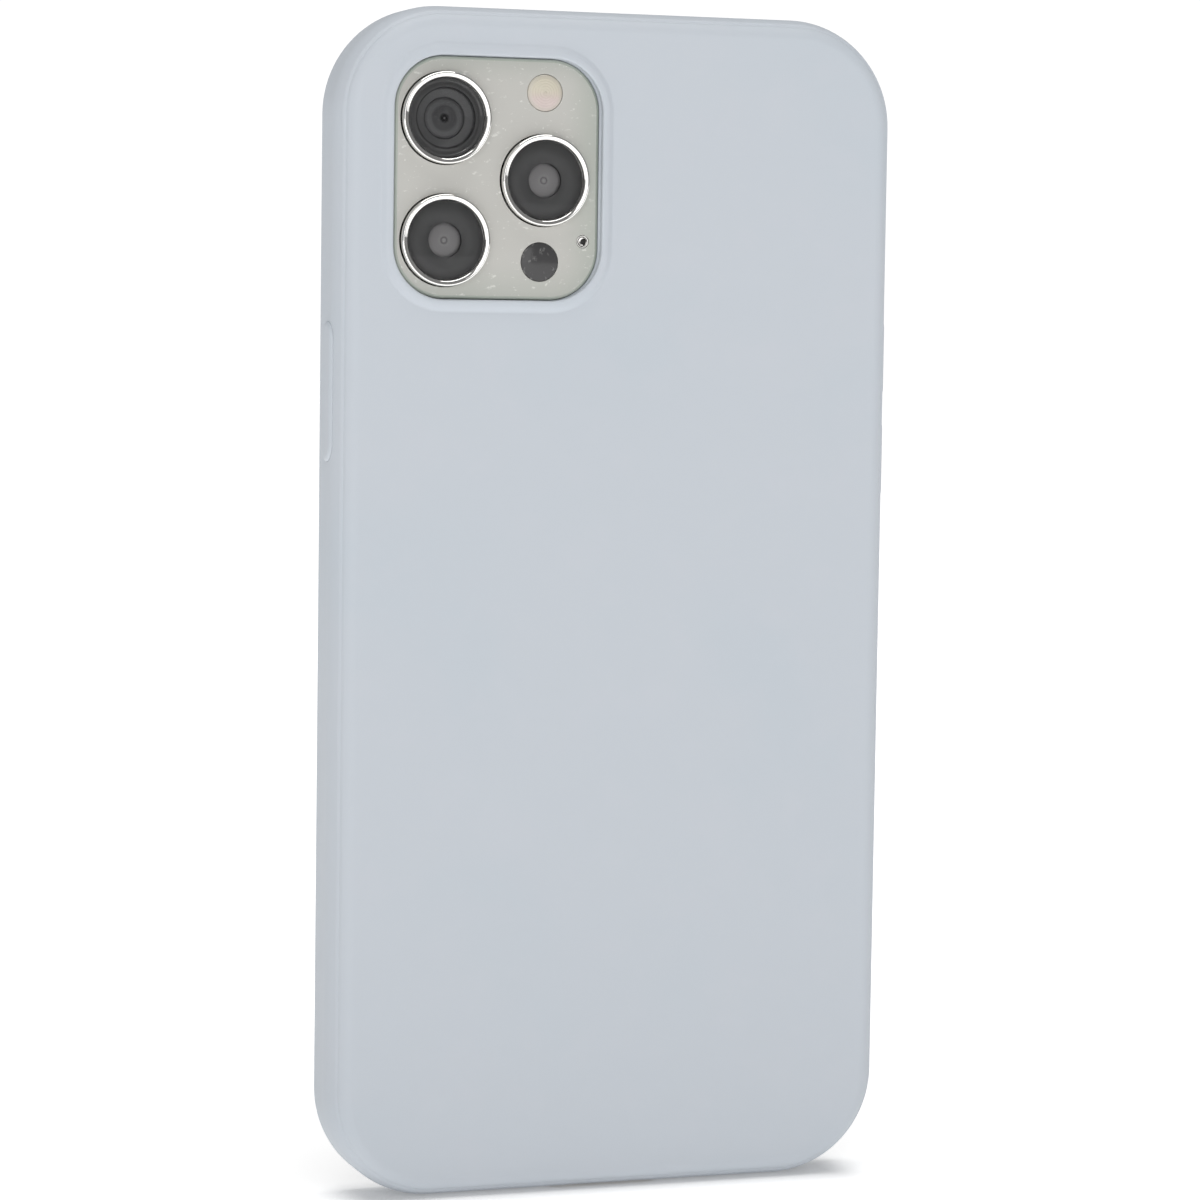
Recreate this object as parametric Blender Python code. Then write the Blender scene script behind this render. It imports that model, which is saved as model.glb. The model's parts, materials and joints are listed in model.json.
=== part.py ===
"""A smartphone in a soft silicone case, standing on its bottom edge, as an assembly of separate pieces.

Frame: +Z runs up the long side, -Y is the way the screen faces, +Y is the back with the cameras and
+X is the side with the long side button. The origin is the centre of the bottom of the whole box.
Sizes are in millimetres. Every depth is measured from the front plane, where the case's front lip
ends: an empty there is the parent of every piece, and it brings the assembly's middle to Y = 0.
"""

import math

import bmesh
import bpy
from mathutils import Matrix, Vector

MM = 0.001

# ---- driving dimensions ----------------------------------------------------------------------
PHONE_WIDTH = 78.1
PHONE_HEIGHT = 160.8
PHONE_DEPTH = 7.4
PHONE_CORNER = 13.3
CASE_WALL = 1.35
CASE_GAP = 0.15
CASE_BACK = 1.4
CASE_FLOOR_GAP = 0.2
LIP_PROUD = 0.9
LIP_COVERS = 0.6
CORNER_STEPS = 9

CASE_SIDE = CASE_WALL + CASE_GAP
CASE_WIDTH = PHONE_WIDTH + 2 * CASE_SIDE
CASE_HEIGHT = PHONE_HEIGHT + 2 * CASE_SIDE
CASE_CORNER = PHONE_CORNER + CASE_SIDE
GLASS_FRONT = LIP_PROUD
GLASS_BACK = GLASS_FRONT + PHONE_DEPTH
CASE_FLOOR = GLASS_BACK + CASE_FLOOR_GAP
CASE_DEPTH = CASE_FLOOR + CASE_BACK
MID_DEPTH = GLASS_FRONT + PHONE_DEPTH / 2
HALF_WIDTH = PHONE_WIDTH / 2
MIDDLE_Z = CASE_HEIGHT / 2

# the rounded back edge of the case: how far it runs in from the side, and how far forward
EDGE_INWARD = 3.0
EDGE_FORWARD = 4.5

# layers of the phone, from the front
COVER_THICK = 0.7
DISPLAY_THICK = 1.1
REAR_GLASS_THICK = 0.8
CHASSIS_THICK = 0.4
LAYER_GAP = 0.05
DISPLAY_FRONT = GLASS_FRONT + COVER_THICK + LAYER_GAP
DISPLAY_BACK = DISPLAY_FRONT + DISPLAY_THICK
REAR_GLASS_FRONT = GLASS_BACK - REAR_GLASS_THICK
CHASSIS_BACK = REAR_GLASS_FRONT - 0.1
CHASSIS_FRONT = CHASSIS_BACK - CHASSIS_THICK

# the steel band round the phone
BAND_WALL = 1.9
BAND_RIM = 0.85
BAND_EDGE = 0.4
GLASS_INSET = 0.9

# the camera island and what stands in it; places are (x, z)
ISLAND_CENTRE = (18.3, 140.5)
ISLAND_HALF = (14.5, 16.15)
ISLAND_CORNER = 6.9
ISLAND_TOP = GLASS_BACK + 1.45
ISLAND_ROUNDING = 0.5
ISLAND_WALL = 0.95
CUTOUT_CENTRE = (18.2, 140.5)
CUTOUT_HALF = (14.85, 16.5)
CUTOUT_CORNER = 7.2
BEAD_WIDTH = 1.45
BEAD_HEIGHT = 0.55
LENSES = {"main": (25.75, 148.5), "tele": (25.75, 132.0), "ultrawide": (11.6, 140.4)}
FLASH_PLACE = (11.6, 152.3)
DEPTH_SENSOR_PLACE = (12.1, 129.3)
REAR_MIC_PLACE = (5.9, 132.2)
RING_RADIUS = 6.25
RING_TOP = ISLAND_TOP + 1.3
COVER_RADIUS = 5.4
BARREL_RADIUS = 4.4
FOCUS_TRAVEL = 0.3

# buttons: centre height, length of the steel cap and of the silicone pad over it
SIDE_BUTTON_Z = 111.3
SIDE_BUTTON_LENGTH = 17.0
VOLUME_Z = {"up": 116.6, "down": 102.2}
VOLUME_LENGTH = 10.4
CAP_WIDTH = 2.9
CAP_PROUD = 0.3
PAD_LONGER = 2.1
PAD_WIDTH = 4.4
PAD_PROUD = 0.35
PAD_GAP = 0.22
RUNNING_GAP = 0.15
SWITCH_Z = 130.9
SWITCH_LENGTH = 6.0
SWITCH_WIDTH = 1.5
SWITCH_TRAVEL = 1.6

# the bottom edge
PORT_WIDTH = 9.0
PORT_THICK = 3.1
SCREW_X = 6.5
SCREW_HEAD = 0.8
SPEAKER_FIRST_X = 11.5
SPEAKER_PITCH = 2.2
SPEAKER_COUNT = 5
SPEAKER_RADIUS = 0.75

SIM_Z = 84.0

TOTAL_DEPTH = RING_TOP
PHONE_BOTTOM = CASE_SIDE

# ---- the scene -------------------------------------------------------------------------------
for old in list(bpy.data.objects):
    bpy.data.objects.remove(old, do_unlink=True)

front_plane = bpy.data.objects.new("front_plane", None)
front_plane.location = (0, -TOTAL_DEPTH / 2 * MM, 0)
bpy.context.scene.collection.objects.link(front_plane)


def look(name, colour, roughness, metallic=0.0):
    """A Principled material; each piece gets a copy of its own."""
    made = bpy.data.materials.new(name)
    made.use_nodes = True
    shader = made.node_tree.nodes["Principled BSDF"]
    shader.inputs["Base Color"].default_value = (*colour, 1)
    shader.inputs["Roughness"].default_value = roughness
    shader.inputs["Metallic"].default_value = metallic
    made.diffuse_color = (*colour, 1)
    return made


SILICONE = look("silicone", (0.53, 0.58, 0.63), 0.6)
STEEL = look("polished_steel", (0.75, 0.74, 0.72), 0.12, 1.0)
REAR_GLASS = look("rear_glass", (0.52, 0.52, 0.48), 0.15)
FRONT_GLASS = look("front_glass", (0.01, 0.01, 0.012), 0.05)
CLEAR = look("lens_glass", (0.02, 0.02, 0.025), 0.03)
BLACK = look("black_plastic", (0.03, 0.03, 0.03), 0.45)
DIFFUSER = look("diffuser", (0.75, 0.68, 0.5), 0.3)
ALUMINIUM = look("aluminium", (0.6, 0.6, 0.62), 0.35, 1.0)
BOARD = look("circuit_board", (0.02, 0.06, 0.1), 0.5)
SHIELD = look("shield_can", (0.6, 0.6, 0.58), 0.3, 1.0)
POUCH = look("battery_pouch", (0.05, 0.05, 0.055), 0.5)
COPPER = look("copper", (0.6, 0.3, 0.15), 0.35, 1.0)
MAGNET = look("magnet", (0.3, 0.3, 0.32), 0.4, 1.0)
FLEX = look("flex_cable", (0.3, 0.15, 0.03), 0.5)
PLASTIC = look("antenna_plastic", (0.5, 0.5, 0.48), 0.5)
CARD = look("sim_card", (0.8, 0.8, 0.78), 0.5)


# ---- outlines: lists of (u, v) points, anticlockwise -------------------------------------------
def rounded_outline(half_u, half_v, radius, centre=(0, 0), steps=CORNER_STEPS):
    """A rectangle with round corners."""
    points = []
    for turn, (su, sv) in enumerate(((1, 1), (-1, 1), (-1, -1), (1, -1))):
        cu = centre[0] + su * (half_u - radius)
        cv = centre[1] + sv * (half_v - radius)
        for i in range(steps + 1):
            angle = math.pi / 2 * (turn + i / steps)
            points.append((cu + radius * math.cos(angle), cv + radius * math.sin(angle)))
    return points


def racetrack(length, width, centre=(0, 0), steps=8):
    """A slot with round ends, its length along v."""
    points = []
    for turn, sign in ((0, 1), (math.pi, -1)):
        cv = centre[1] + sign * (length - width) / 2
        for i in range(steps + 1):
            angle = turn + math.pi * i / steps
            points.append((centre[0] + width / 2 * math.cos(angle), cv + width / 2 * math.sin(angle)))
    return points


def turned_quarter(outline):
    """The outline with u and v exchanged."""
    return [(v, u) for u, v in reversed(outline)]


def circle(radius, centre=(0, 0), steps=16):
    return [
        (
            centre[0] + radius * math.cos(2 * math.pi * i / steps),
            centre[1] + radius * math.sin(2 * math.pi * i / steps),
        )
        for i in range(steps)
    ]


def box_outline(low_u, high_u, low_v, high_v):
    return [(low_u, low_v), (high_u, low_v), (high_u, high_v), (low_u, high_v)]


def case_outline(inset):
    return rounded_outline(
        CASE_WIDTH / 2 - inset, CASE_HEIGHT / 2 - inset, CASE_CORNER - inset, (0, MIDDLE_Z)
    )


def phone_outline(inset):
    return case_outline(CASE_SIDE + inset)


# ---- solids ----------------------------------------------------------------------------------
AXES = {
    "X": lambda u, v, w: Vector((w, u, v)),
    "Y": lambda u, v, w: Vector((u, w, v)),
    "Z": lambda u, v, w: Vector((u, v, w)),
}


def loft_into(bm, loops, ring=False):
    """Skins a row of loops with the same number of points, and caps its ends or joins them."""
    rows = [[bm.verts.new(point) for point in loop] for loop in loops]
    count = len(rows[0])
    pairs = list(zip(rows, rows[1:]))
    if ring:
        pairs.append((rows[-1], rows[0]))
    for a, b in pairs:
        for i in range(count):
            j = (i + 1) % count
            bm.faces.new((a[i], a[j], b[j], b[i]))
    if not ring:
        bm.faces.new(rows[0])
        bm.faces.new(rows[-1])


def prism_into(bm, outline, axis, low, high):
    loft_into(bm, [[AXES[axis](u, v, w) for u, v in outline] for w in (low, high)])


def finish(name, bm, material, place=(0, 0, 0)):
    """Makes an object of the mesh, given in millimetres about its place."""
    bmesh.ops.recalc_face_normals(bm, faces=bm.faces)
    mesh = bpy.data.meshes.new(name)
    bm.to_mesh(mesh)
    bm.free()
    mesh.transform(Matrix.Scale(MM, 4))
    mesh.shade_smooth()
    mesh.set_sharp_from_angle(angle=math.radians(30))
    if material:
        own = material.copy()
        own.name = name
        mesh.materials.append(own)
    obj = bpy.data.objects.new(name, mesh)
    bpy.context.scene.collection.objects.link(obj)
    obj.parent = front_plane
    obj.location = Vector(place) * MM
    return obj


def prism(name, outline, axis, low, high, material, place=(0, 0, 0)):
    bm = bmesh.new()
    prism_into(bm, outline, axis, low, high)
    return finish(name, bm, material, place)


def turned(name, profile, material, place, ring=False, steps=32):
    """A solid of revolution about Y through the place; profile is (radius, depth) points."""
    loops = [
        [AXES["Y"](u, v, depth) for u, v in circle(radius, steps=steps)] for radius, depth in profile
    ]
    bm = bmesh.new()
    loft_into(bm, loops, ring)
    return finish(name, bm, material, (place[0], 0, place[1]))


def stacked(name, outline_at, profile, material, ring=False):
    """A solid whose outline, outline_at(inset), changes with depth; profile is (inset, depth)."""
    bm = bmesh.new()
    loft_into(bm, [[AXES["Y"](u, v, depth) for u, v in outline_at(inset)] for inset, depth in profile], ring)
    return finish(name, bm, material)


def cutter(name, prisms):
    """One helper of several separate prisms, (outline, axis, low, high) each."""
    bm = bmesh.new()
    for outline, axis, low, high in prisms:
        prism_into(bm, outline, axis, low, high)
    return hidden(finish("cut_" + name, bm, None))


def hidden(obj):
    obj.hide_render = True
    obj.display_type = "WIRE"
    return obj


def boolean(obj, other, operation):
    modifier = obj.modifiers.new(operation.lower() + "_" + other.name, "BOOLEAN")
    modifier.operation = operation
    modifier.object = other


def soften(obj, width, segments=2):
    """Rounds an object's sharp edges."""
    bevel = obj.modifiers.new("rounding", "BEVEL")
    bevel.width = width * MM
    bevel.segments = segments
    bevel.limit_method = "ANGLE"
    bevel.angle_limit = math.radians(50)


# ---- the silicone case -----------------------------------------------------------------------
def cutout_outline(inset):
    return rounded_outline(
        CUTOUT_HALF[0] - inset, CUTOUT_HALF[1] - inset, CUTOUT_CORNER - inset, CUTOUT_CENTRE, steps=7
    )


def case_profile():
    """The section of the tray from the middle of its floor, round the lip, to the middle of its back."""
    lip_inner = CASE_SIDE + LIP_COVERS
    inside = [
        (CASE_WALL + 0.95, CASE_FLOOR),
        (CASE_WALL + 0.45, CASE_FLOOR - 0.1),
        (CASE_WALL + 0.12, CASE_FLOOR - 0.45),
        (CASE_WALL, CASE_FLOOR - 0.9),
        (CASE_WALL, GLASS_FRONT - 0.1),
        (lip_inner, GLASS_FRONT - 0.1),
    ]
    lip = [(lip_inner, 0.35), (lip_inner - 0.35, 0), (0.8, 0), (0.25, 0.22), (0, 0.8)]
    edge_steps = 7
    edge = [
        (
            EDGE_INWARD * (1 - math.cos(math.pi / 2 * i / edge_steps)),
            CASE_DEPTH - EDGE_FORWARD + EDGE_FORWARD * math.sin(math.pi / 2 * i / edge_steps),
        )
        for i in range(edge_steps + 1)
    ]
    return inside + lip + edge


def pad_outline(length, grown=0.0):
    return racetrack(length + PAD_LONGER + 2 * grown, PAD_WIDTH + 2 * grown)


def shifted(outline, du, dv):
    return [(u + du, v + dv) for u, v in outline]


def make_case():
    shell = stacked("case_shell", case_outline, case_profile(), SILICONE)
    bead_profile = [
        (0.5, -0.5),
        (0.5, 0.3),
        (-0.3, BEAD_HEIGHT),
        (-0.9, BEAD_HEIGHT),
        (-1.25, 0.3),
        (-BEAD_WIDTH, -0.05),
        (-BEAD_WIDTH, -0.5),
    ]
    bead = stacked(
        "cut_bead",
        cutout_outline,
        [(inset, CASE_DEPTH + rise) for inset, rise in bead_profile],
        None,
        ring=True,
    )
    boolean(shell, hidden(bead), "UNION")
    outer = CASE_WIDTH / 2 + 2
    inner = HALF_WIDTH - 1
    openings = [(cutout_outline(0), "Y", GLASS_BACK - 1, RING_TOP + 1)]
    pads = [(1, SIDE_BUTTON_Z, SIDE_BUTTON_LENGTH)]
    pads += [(-1, z, VOLUME_LENGTH) for z in VOLUME_Z.values()]
    for side, z, length in pads:
        outline = shifted(pad_outline(length, PAD_GAP), MID_DEPTH, z)
        openings.append((outline, "X", *sorted((side * inner, side * outer))))
    switch = rounded_outline(3.0, 5.5, 2.2, (MID_DEPTH, SWITCH_Z), steps=5)
    openings.append((switch, "X", -outer, -inner))
    port = turned_quarter(racetrack(17.0, 5.6, (MID_DEPTH, 0)))
    openings.append((port, "Z", -2, PHONE_BOTTOM + 1))
    for side in (-1, 1):
        slot = turned_quarter(racetrack(12.0, 2.6, (MID_DEPTH, side * (SPEAKER_FIRST_X + 2 * SPEAKER_PITCH))))
        openings.append((slot, "Z", -2, PHONE_BOTTOM + 1))
    boolean(shell, cutter("case_openings", openings), "DIFFERENCE")


# ---- buttons ---------------------------------------------------------------------------------
def make_button(name, side, z, length):
    """A steel cap in the band's slot, and the silicone pad of the case that lies over it."""
    place = (side * HALF_WIDTH, MID_DEPTH, z)
    cap = prism(
        name + "_button",
        racetrack(length, CAP_WIDTH),
        "X",
        *sorted((side * CAP_PROUD, side * -(BAND_WALL - 0.15))),
        STEEL,
        place,
    )
    soften(cap, 0.15, 1)
    pad_inner = CAP_PROUD + 0.15
    pad_outer = CASE_SIDE + PAD_PROUD
    bm = bmesh.new()
    rises = [(0, pad_inner), (0, pad_outer - 0.5), (0.15, pad_outer - 0.15), (0.6, pad_outer)]
    loops = [
        [Vector((side * rise, u, v)) for u, v in pad_outline(length, -inset)] for inset, rise in rises
    ]
    loft_into(bm, loops)
    finish(name + "_pad", bm, SILICONE, place)


def make_buttons():
    make_button("side", 1, SIDE_BUTTON_Z, SIDE_BUTTON_LENGTH)
    for which, z in VOLUME_Z.items():
        make_button("volume_" + which, -1, z, VOLUME_LENGTH)
    lever = prism(
        "ring_switch",
        rounded_outline(SWITCH_WIDTH / 2, SWITCH_LENGTH / 2, 0.5, steps=3),
        "X",
        -0.35,
        BAND_WALL + 0.3,
        STEEL,
        (-HALF_WIDTH, MID_DEPTH - SWITCH_TRAVEL / 2, SWITCH_Z),
    )
    soften(lever, 0.12, 1)
    wall = HALF_WIDTH - BAND_WALL
    flex = rounded_outline(1.3, 9.5, 0.6, (MID_DEPTH, SIDE_BUTTON_Z), steps=3)
    prism("side_button_switch", flex, "X", wall - 0.8, wall - 0.22, FLEX)
    low, high = VOLUME_Z["down"] - 6.5, VOLUME_Z["up"] + 6.5
    flex = rounded_outline(1.3, (high - low) / 2, 0.6, (MID_DEPTH, (low + high) / 2), steps=3)
    prism("volume_switches", flex, "X", -(wall - 0.22), -(wall - 0.8), FLEX)


# ---- the steel band --------------------------------------------------------------------------
def make_band():
    front, back = GLASS_FRONT + 0.05, GLASS_BACK - 0.1
    profile = [
        (0, front + BAND_EDGE),
        (0.12, front + 0.12),
        (BAND_EDGE, front),
        (BAND_RIM, front),
        (BAND_RIM, DISPLAY_FRONT - 0.02),
        (BAND_WALL, DISPLAY_FRONT - 0.02),
        (BAND_WALL, REAR_GLASS_FRONT - 0.06),
        (BAND_RIM, REAR_GLASS_FRONT - 0.06),
        (BAND_RIM, back),
        (BAND_EDGE, back),
        (0.12, back - 0.12),
        (0, back - BAND_EDGE),
    ]
    band = stacked("frame_band", phone_outline, profile, STEEL, ring=True)
    outer, inner = HALF_WIDTH + 1, HALF_WIDTH - BAND_WALL - 1
    slot = RUNNING_GAP
    cap = racetrack(SIDE_BUTTON_LENGTH + 2 * slot, CAP_WIDTH + 2 * slot)
    openings = [(shifted(cap, MID_DEPTH, SIDE_BUTTON_Z), "X", inner, outer)]
    for z in VOLUME_Z.values():
        cap = racetrack(VOLUME_LENGTH + 2 * slot, CAP_WIDTH + 2 * slot)
        openings.append((shifted(cap, MID_DEPTH, z), "X", -outer, -inner))
    half_slot = (SWITCH_WIDTH + SWITCH_TRAVEL) / 2 + slot
    switch = rounded_outline(half_slot, SWITCH_LENGTH / 2 + slot, 0.6, (MID_DEPTH, SWITCH_Z), steps=3)
    openings.append((switch, "X", -outer, -inner))
    tray = racetrack(14.9, 2.5, (MID_DEPTH, SIM_Z))
    openings.append((tray, "X", -outer, -inner))
    low, high = PHONE_BOTTOM - 1, PHONE_BOTTOM + BAND_WALL + 1
    port = turned_quarter(racetrack(PORT_WIDTH + 2 * slot, PORT_THICK + 2 * slot, (MID_DEPTH, 0)))
    openings.append((port, "Z", low, high))
    for side in (-1, 1):
        openings.append((circle(SCREW_HEAD + slot, (side * SCREW_X, MID_DEPTH)), "Z", low, high))
        for i in range(SPEAKER_COUNT):
            hole = circle(SPEAKER_RADIUS, (side * (SPEAKER_FIRST_X + i * SPEAKER_PITCH), MID_DEPTH), 12)
            openings.append((hole, "Z", low, high))
    break_depth, break_half = 0.6, 0.6
    for z in (20.0, 144.0):
        for side in (-1, 1):
            sides = sorted((side * (HALF_WIDTH - break_depth), side * outer))
            cut = box_outline(GLASS_FRONT - 1, GLASS_BACK + 1, z - break_half, z + break_half)
            openings.append((cut, "X", *sides))
    boolean(band, cutter("band_openings", openings), "DIFFERENCE")
    # the plastic inlays in the four antenna breaks follow the band's own section
    inlay = [(inset, depth) for inset, depth in profile if inset <= BAND_EDGE]
    inlay_depth = break_depth - 0.08
    for level, z in (("lower", 20.0), ("upper", 144.0)):
        for side, where in ((-1, "left"), (1, "right")):
            section = [(side * (HALF_WIDTH - inset), depth) for inset, depth in inlay]
            inner_face = [(side * (HALF_WIDTH - inlay_depth), depth) for depth in (front, back)]
            outline = section[:3] + inner_face + section[3:]
            half = break_half - 0.08
            prism(f"antenna_break_{level}_{where}", outline, "Z", z - half, z + half, PLASTIC)


# ---- the screen side -------------------------------------------------------------------------
NOTCH_HALF = 15.0
NOTCH_DEEP = 5.2
EARPIECE_Z = CASE_HEIGHT - CASE_SIDE - 4.0


def make_screen():
    edge = [
        (GLASS_INSET + 0.3, GLASS_FRONT),
        (GLASS_INSET + 0.08, GLASS_FRONT + 0.07),
        (GLASS_INSET, GLASS_FRONT + 0.25),
        (GLASS_INSET, GLASS_FRONT + COVER_THICK),
    ]
    cover = stacked("cover_glass", phone_outline, edge, FRONT_GLASS)
    slot = turned_quarter(racetrack(10.5, 1.3, (EARPIECE_Z, 0)))
    boolean(cover, cutter("earpiece_slot", [(slot, "Y", -1, DISPLAY_FRONT)]), "DIFFERENCE")

    inset = BAND_WALL + 0.25
    panel = stacked("display_panel", phone_outline, [(inset, DISPLAY_FRONT), (inset, DISPLAY_BACK)], BLACK)
    top = CASE_HEIGHT - CASE_SIDE
    notch = rounded_outline(NOTCH_HALF, 6.0, 2.5, (0, top - inset - NOTCH_DEEP + 6.0), steps=4)
    boolean(panel, cutter("display_notch", [(notch, "Y", 0, DISPLAY_BACK + 1)]), "DIFFERENCE")

    mesh_slot = turned_quarter(racetrack(10.1, 0.95, (EARPIECE_Z, 0)))
    prism("earpiece_mesh", mesh_slot, "Y", GLASS_FRONT + 0.12, GLASS_FRONT + 0.4, BLACK)
    speaker = rounded_outline(6.5, 2.0, 0.8, (0, EARPIECE_Z - 0.4), steps=3)
    prism("earpiece_speaker", speaker, "Y", DISPLAY_FRONT + 0.1, 4.4, BLACK)
    for name, x, radius in (
        ("front_camera", 10.5, 1.7),
        ("infrared_camera", -10.5, 1.5),
    ):
        profile = [(2.3, 4.8), (2.3, 2.9), (radius, 2.9), (radius, DISPLAY_FRONT + 0.08)]
        turned(name, profile, BLACK, (x, EARPIECE_Z - 0.6), steps=20)
    projector = rounded_outline(1.0, 1.9, 0.4, (-14.0, EARPIECE_Z - 0.6), steps=2)
    prism("dot_projector", projector, "Y", DISPLAY_BACK + 0.2, 4.6, BLACK)


# ---- the back: glass, island, rings and lenses --------------------------------------------------
def island_outline(inset):
    return rounded_outline(
        ISLAND_HALF[0] - inset, ISLAND_HALF[1] - inset, ISLAND_CORNER - inset, ISLAND_CENTRE, steps=7
    )


def make_rear_glass():
    edge = [
        (GLASS_INSET, REAR_GLASS_FRONT),
        (GLASS_INSET, GLASS_BACK - 0.25),
        (GLASS_INSET + 0.08, GLASS_BACK - 0.07),
        (GLASS_INSET + 0.3, GLASS_BACK),
    ]
    glass = stacked("rear_glass", phone_outline, edge, REAR_GLASS)
    rise = [
        (0, GLASS_BACK - 0.4),
        (0, ISLAND_TOP - ISLAND_ROUNDING),
        (0.15, ISLAND_TOP - 0.15),
        (ISLAND_ROUNDING, ISLAND_TOP),
    ]
    boolean(glass, hidden(stacked("cut_island", island_outline, rise, None)), "UNION")
    pocket = [(1.2, REAR_GLASS_FRONT - 1), (1.2, ISLAND_TOP - ISLAND_WALL)]
    boolean(glass, hidden(stacked("cut_pocket", island_outline, pocket, None)), "DIFFERENCE")
    low, high = REAR_GLASS_FRONT - 1, RING_TOP + 1
    holes = [(circle(RING_RADIUS + 0.12, place, 32), "Y", low, high) for place in LENSES.values()]
    holes.append((circle(2.65, FLASH_PLACE, 20), "Y", low, high))
    holes.append((circle(2.8, DEPTH_SENSOR_PLACE, 20), "Y", low, high))
    holes.append((circle(0.95, REAR_MIC_PLACE, 12), "Y", low, high))
    boolean(glass, cutter("island_holes", holes), "DIFFERENCE")


def make_camera(name, place):
    """Ring, cover glass, housing with its bore, and the lens barrel that slides in it to focus."""
    ledge = RING_TOP - 0.9
    foot = REAR_GLASS_FRONT + 0.5
    ring_profile = [
        (RING_RADIUS, foot),
        (RING_RADIUS, RING_TOP - 0.25),
        (RING_RADIUS - 0.08, RING_TOP - 0.07),
        (RING_RADIUS - 0.25, RING_TOP),
        (COVER_RADIUS + 0.2, RING_TOP),
        (COVER_RADIUS + 0.08, RING_TOP - 0.15),
        (COVER_RADIUS + 0.08, ledge),
        (COVER_RADIUS - 0.4, ledge),
        (COVER_RADIUS - 0.4, foot),
    ]
    turned("lens_ring_" + name, ring_profile, STEEL, place, ring=True)
    cover_back = RING_TOP - 0.3
    turned("lens_cover_" + name, [(COVER_RADIUS, ledge + 0.05), (COVER_RADIUS, cover_back)], CLEAR, place)
    housing_half = 5.7
    housing_front, bore_floor, housing_back = DISPLAY_BACK + 0.45, 4.0, CHASSIS_BACK - 0.2
    outline = rounded_outline(housing_half, housing_half, 1.5, place, steps=3)
    housing = prism(name + "_camera_housing", outline, "Y", housing_front, housing_back, SHIELD)
    bore = circle(BARREL_RADIUS + 0.2, place, 32)
    boolean(housing, cutter(name + "_bore", [(bore, "Y", bore_floor, housing_back + 1)]), "DIFFERENCE")
    barrel_top = ledge - FOCUS_TRAVEL - 0.2
    barrel_profile = [
        (BARREL_RADIUS, bore_floor + 0.2),
        (BARREL_RADIUS, barrel_top - 0.2),
        (BARREL_RADIUS - 0.2, barrel_top),
        (3.5, barrel_top),
        (2.6, barrel_top - 0.7),
        (1.6, barrel_top - 0.55),
        (0.6, barrel_top - 0.42),
    ]
    turned(name + "_lens_barrel", barrel_profile, BLACK, place, steps=28)


def make_island_parts():
    pocket_floor = ISLAND_TOP - ISLAND_WALL
    diffuser = [(2.5, ISLAND_TOP - 0.75), (2.5, ISLAND_TOP - 0.02)]
    turned("flash_diffuser", diffuser, DIFFUSER, FLASH_PLACE, steps=24)
    x, z = FLASH_PLACE
    emitter = rounded_outline(2.2, 1.9, 0.3, (x, z), steps=2)
    prism("flash_emitter", emitter, "Y", REAR_GLASS_FRONT + 0.1, pocket_floor - 0.1, DIFFUSER)
    window = [(2.65, ISLAND_TOP - 0.55), (2.65, ISLAND_TOP - 0.04)]
    turned("depth_sensor_window", window, CLEAR, DEPTH_SENSOR_PLACE, steps=24)
    sensor = rounded_outline(2.7, 2.7, 0.4, DEPTH_SENSOR_PLACE, steps=2)
    prism("depth_sensor", sensor, "Y", CHASSIS_FRONT - 1.6, pocket_floor - 0.1, BLACK)
    mesh = [(0.85, ISLAND_TOP - 0.7), (0.85, ISLAND_TOP - 0.35)]
    turned("rear_mic_mesh", mesh, SHIELD, REAR_MIC_PLACE, steps=12)


def make_chassis():
    inset = BAND_WALL + 0.2
    faces = [(inset, CHASSIS_FRONT), (inset, CHASSIS_BACK)]
    plate = stacked("chassis_plate", phone_outline, faces, ALUMINIUM)
    openings = [
        (island_outline(-0.8), "Y", CHASSIS_FRONT - 1, CHASSIS_BACK + 1),
        (circle(COIL_OUTSIDE + MAGNET_BAND + 1.2, COIL_PLACE, 40), "Y", CHASSIS_FRONT - 1, CHASSIS_BACK + 1),
    ]
    boolean(plate, cutter("chassis_openings", openings), "DIFFERENCE")


# ---- what is inside --------------------------------------------------------------------------
COIL_PLACE = (0.0, 76.0)
COIL_INSIDE = 10.0
COIL_OUTSIDE = 21.5
MAGNET_BAND = 5.0
INNER_FRONT = DISPLAY_BACK + 0.45
INNER_BACK = CHASSIS_FRONT - 0.3


def flat_ring(name, inner, outer, material):
    profile = [
        (inner, CHASSIS_FRONT + 0.02),
        (outer, CHASSIS_FRONT + 0.02),
        (outer, CHASSIS_BACK - 0.02),
        (inner, CHASSIS_BACK - 0.02),
    ]
    turned(name, profile, material, COIL_PLACE, ring=True, steps=40)


def make_power():
    low, shoulder, high = 28.0, 70.0, 122.0
    side, step = HALF_WIDTH - BAND_WALL - 1.0, 4.5
    outline = [(-side, low), (side, low), (side, high), (step, high), (step, shoulder), (-side, shoulder)]
    soften(prism("battery", outline, "Y", INNER_FRONT, INNER_BACK, POUCH), 0.6)
    flat_ring("charging_coil", COIL_INSIDE, COIL_OUTSIDE, COPPER)
    flat_ring("alignment_magnets", COIL_OUTSIDE + 0.6, COIL_OUTSIDE + 0.6 + MAGNET_BAND, MAGNET)


def make_boards():
    side = HALF_WIDTH - BAND_WALL - 1.0
    low, high, right = 72.0, 151.0, 3.2
    narrow = 0.0
    outline = [(-side, low), (right, low), (right, 122.0), (narrow, 124.0), (narrow, high), (-side, high)]
    board_front = 5.6
    prism("logic_board", outline, "Y", board_front, board_front + 0.7, BOARD)
    front_can = rounded_outline(17.0, 22.5, 1.5, (-17.0, 122.0), steps=3)
    soften(prism("front_shield", front_can, "Y", INNER_FRONT, board_front - 0.05, SHIELD), 0.25, 1)
    rear_can = rounded_outline(16.0, 24.0, 1.5, (-18.0, 121.0), steps=3)
    prism("rear_shield", rear_can, "Y", board_front + 0.75, CHASSIS_FRONT - 0.02, SHIELD)


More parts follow.
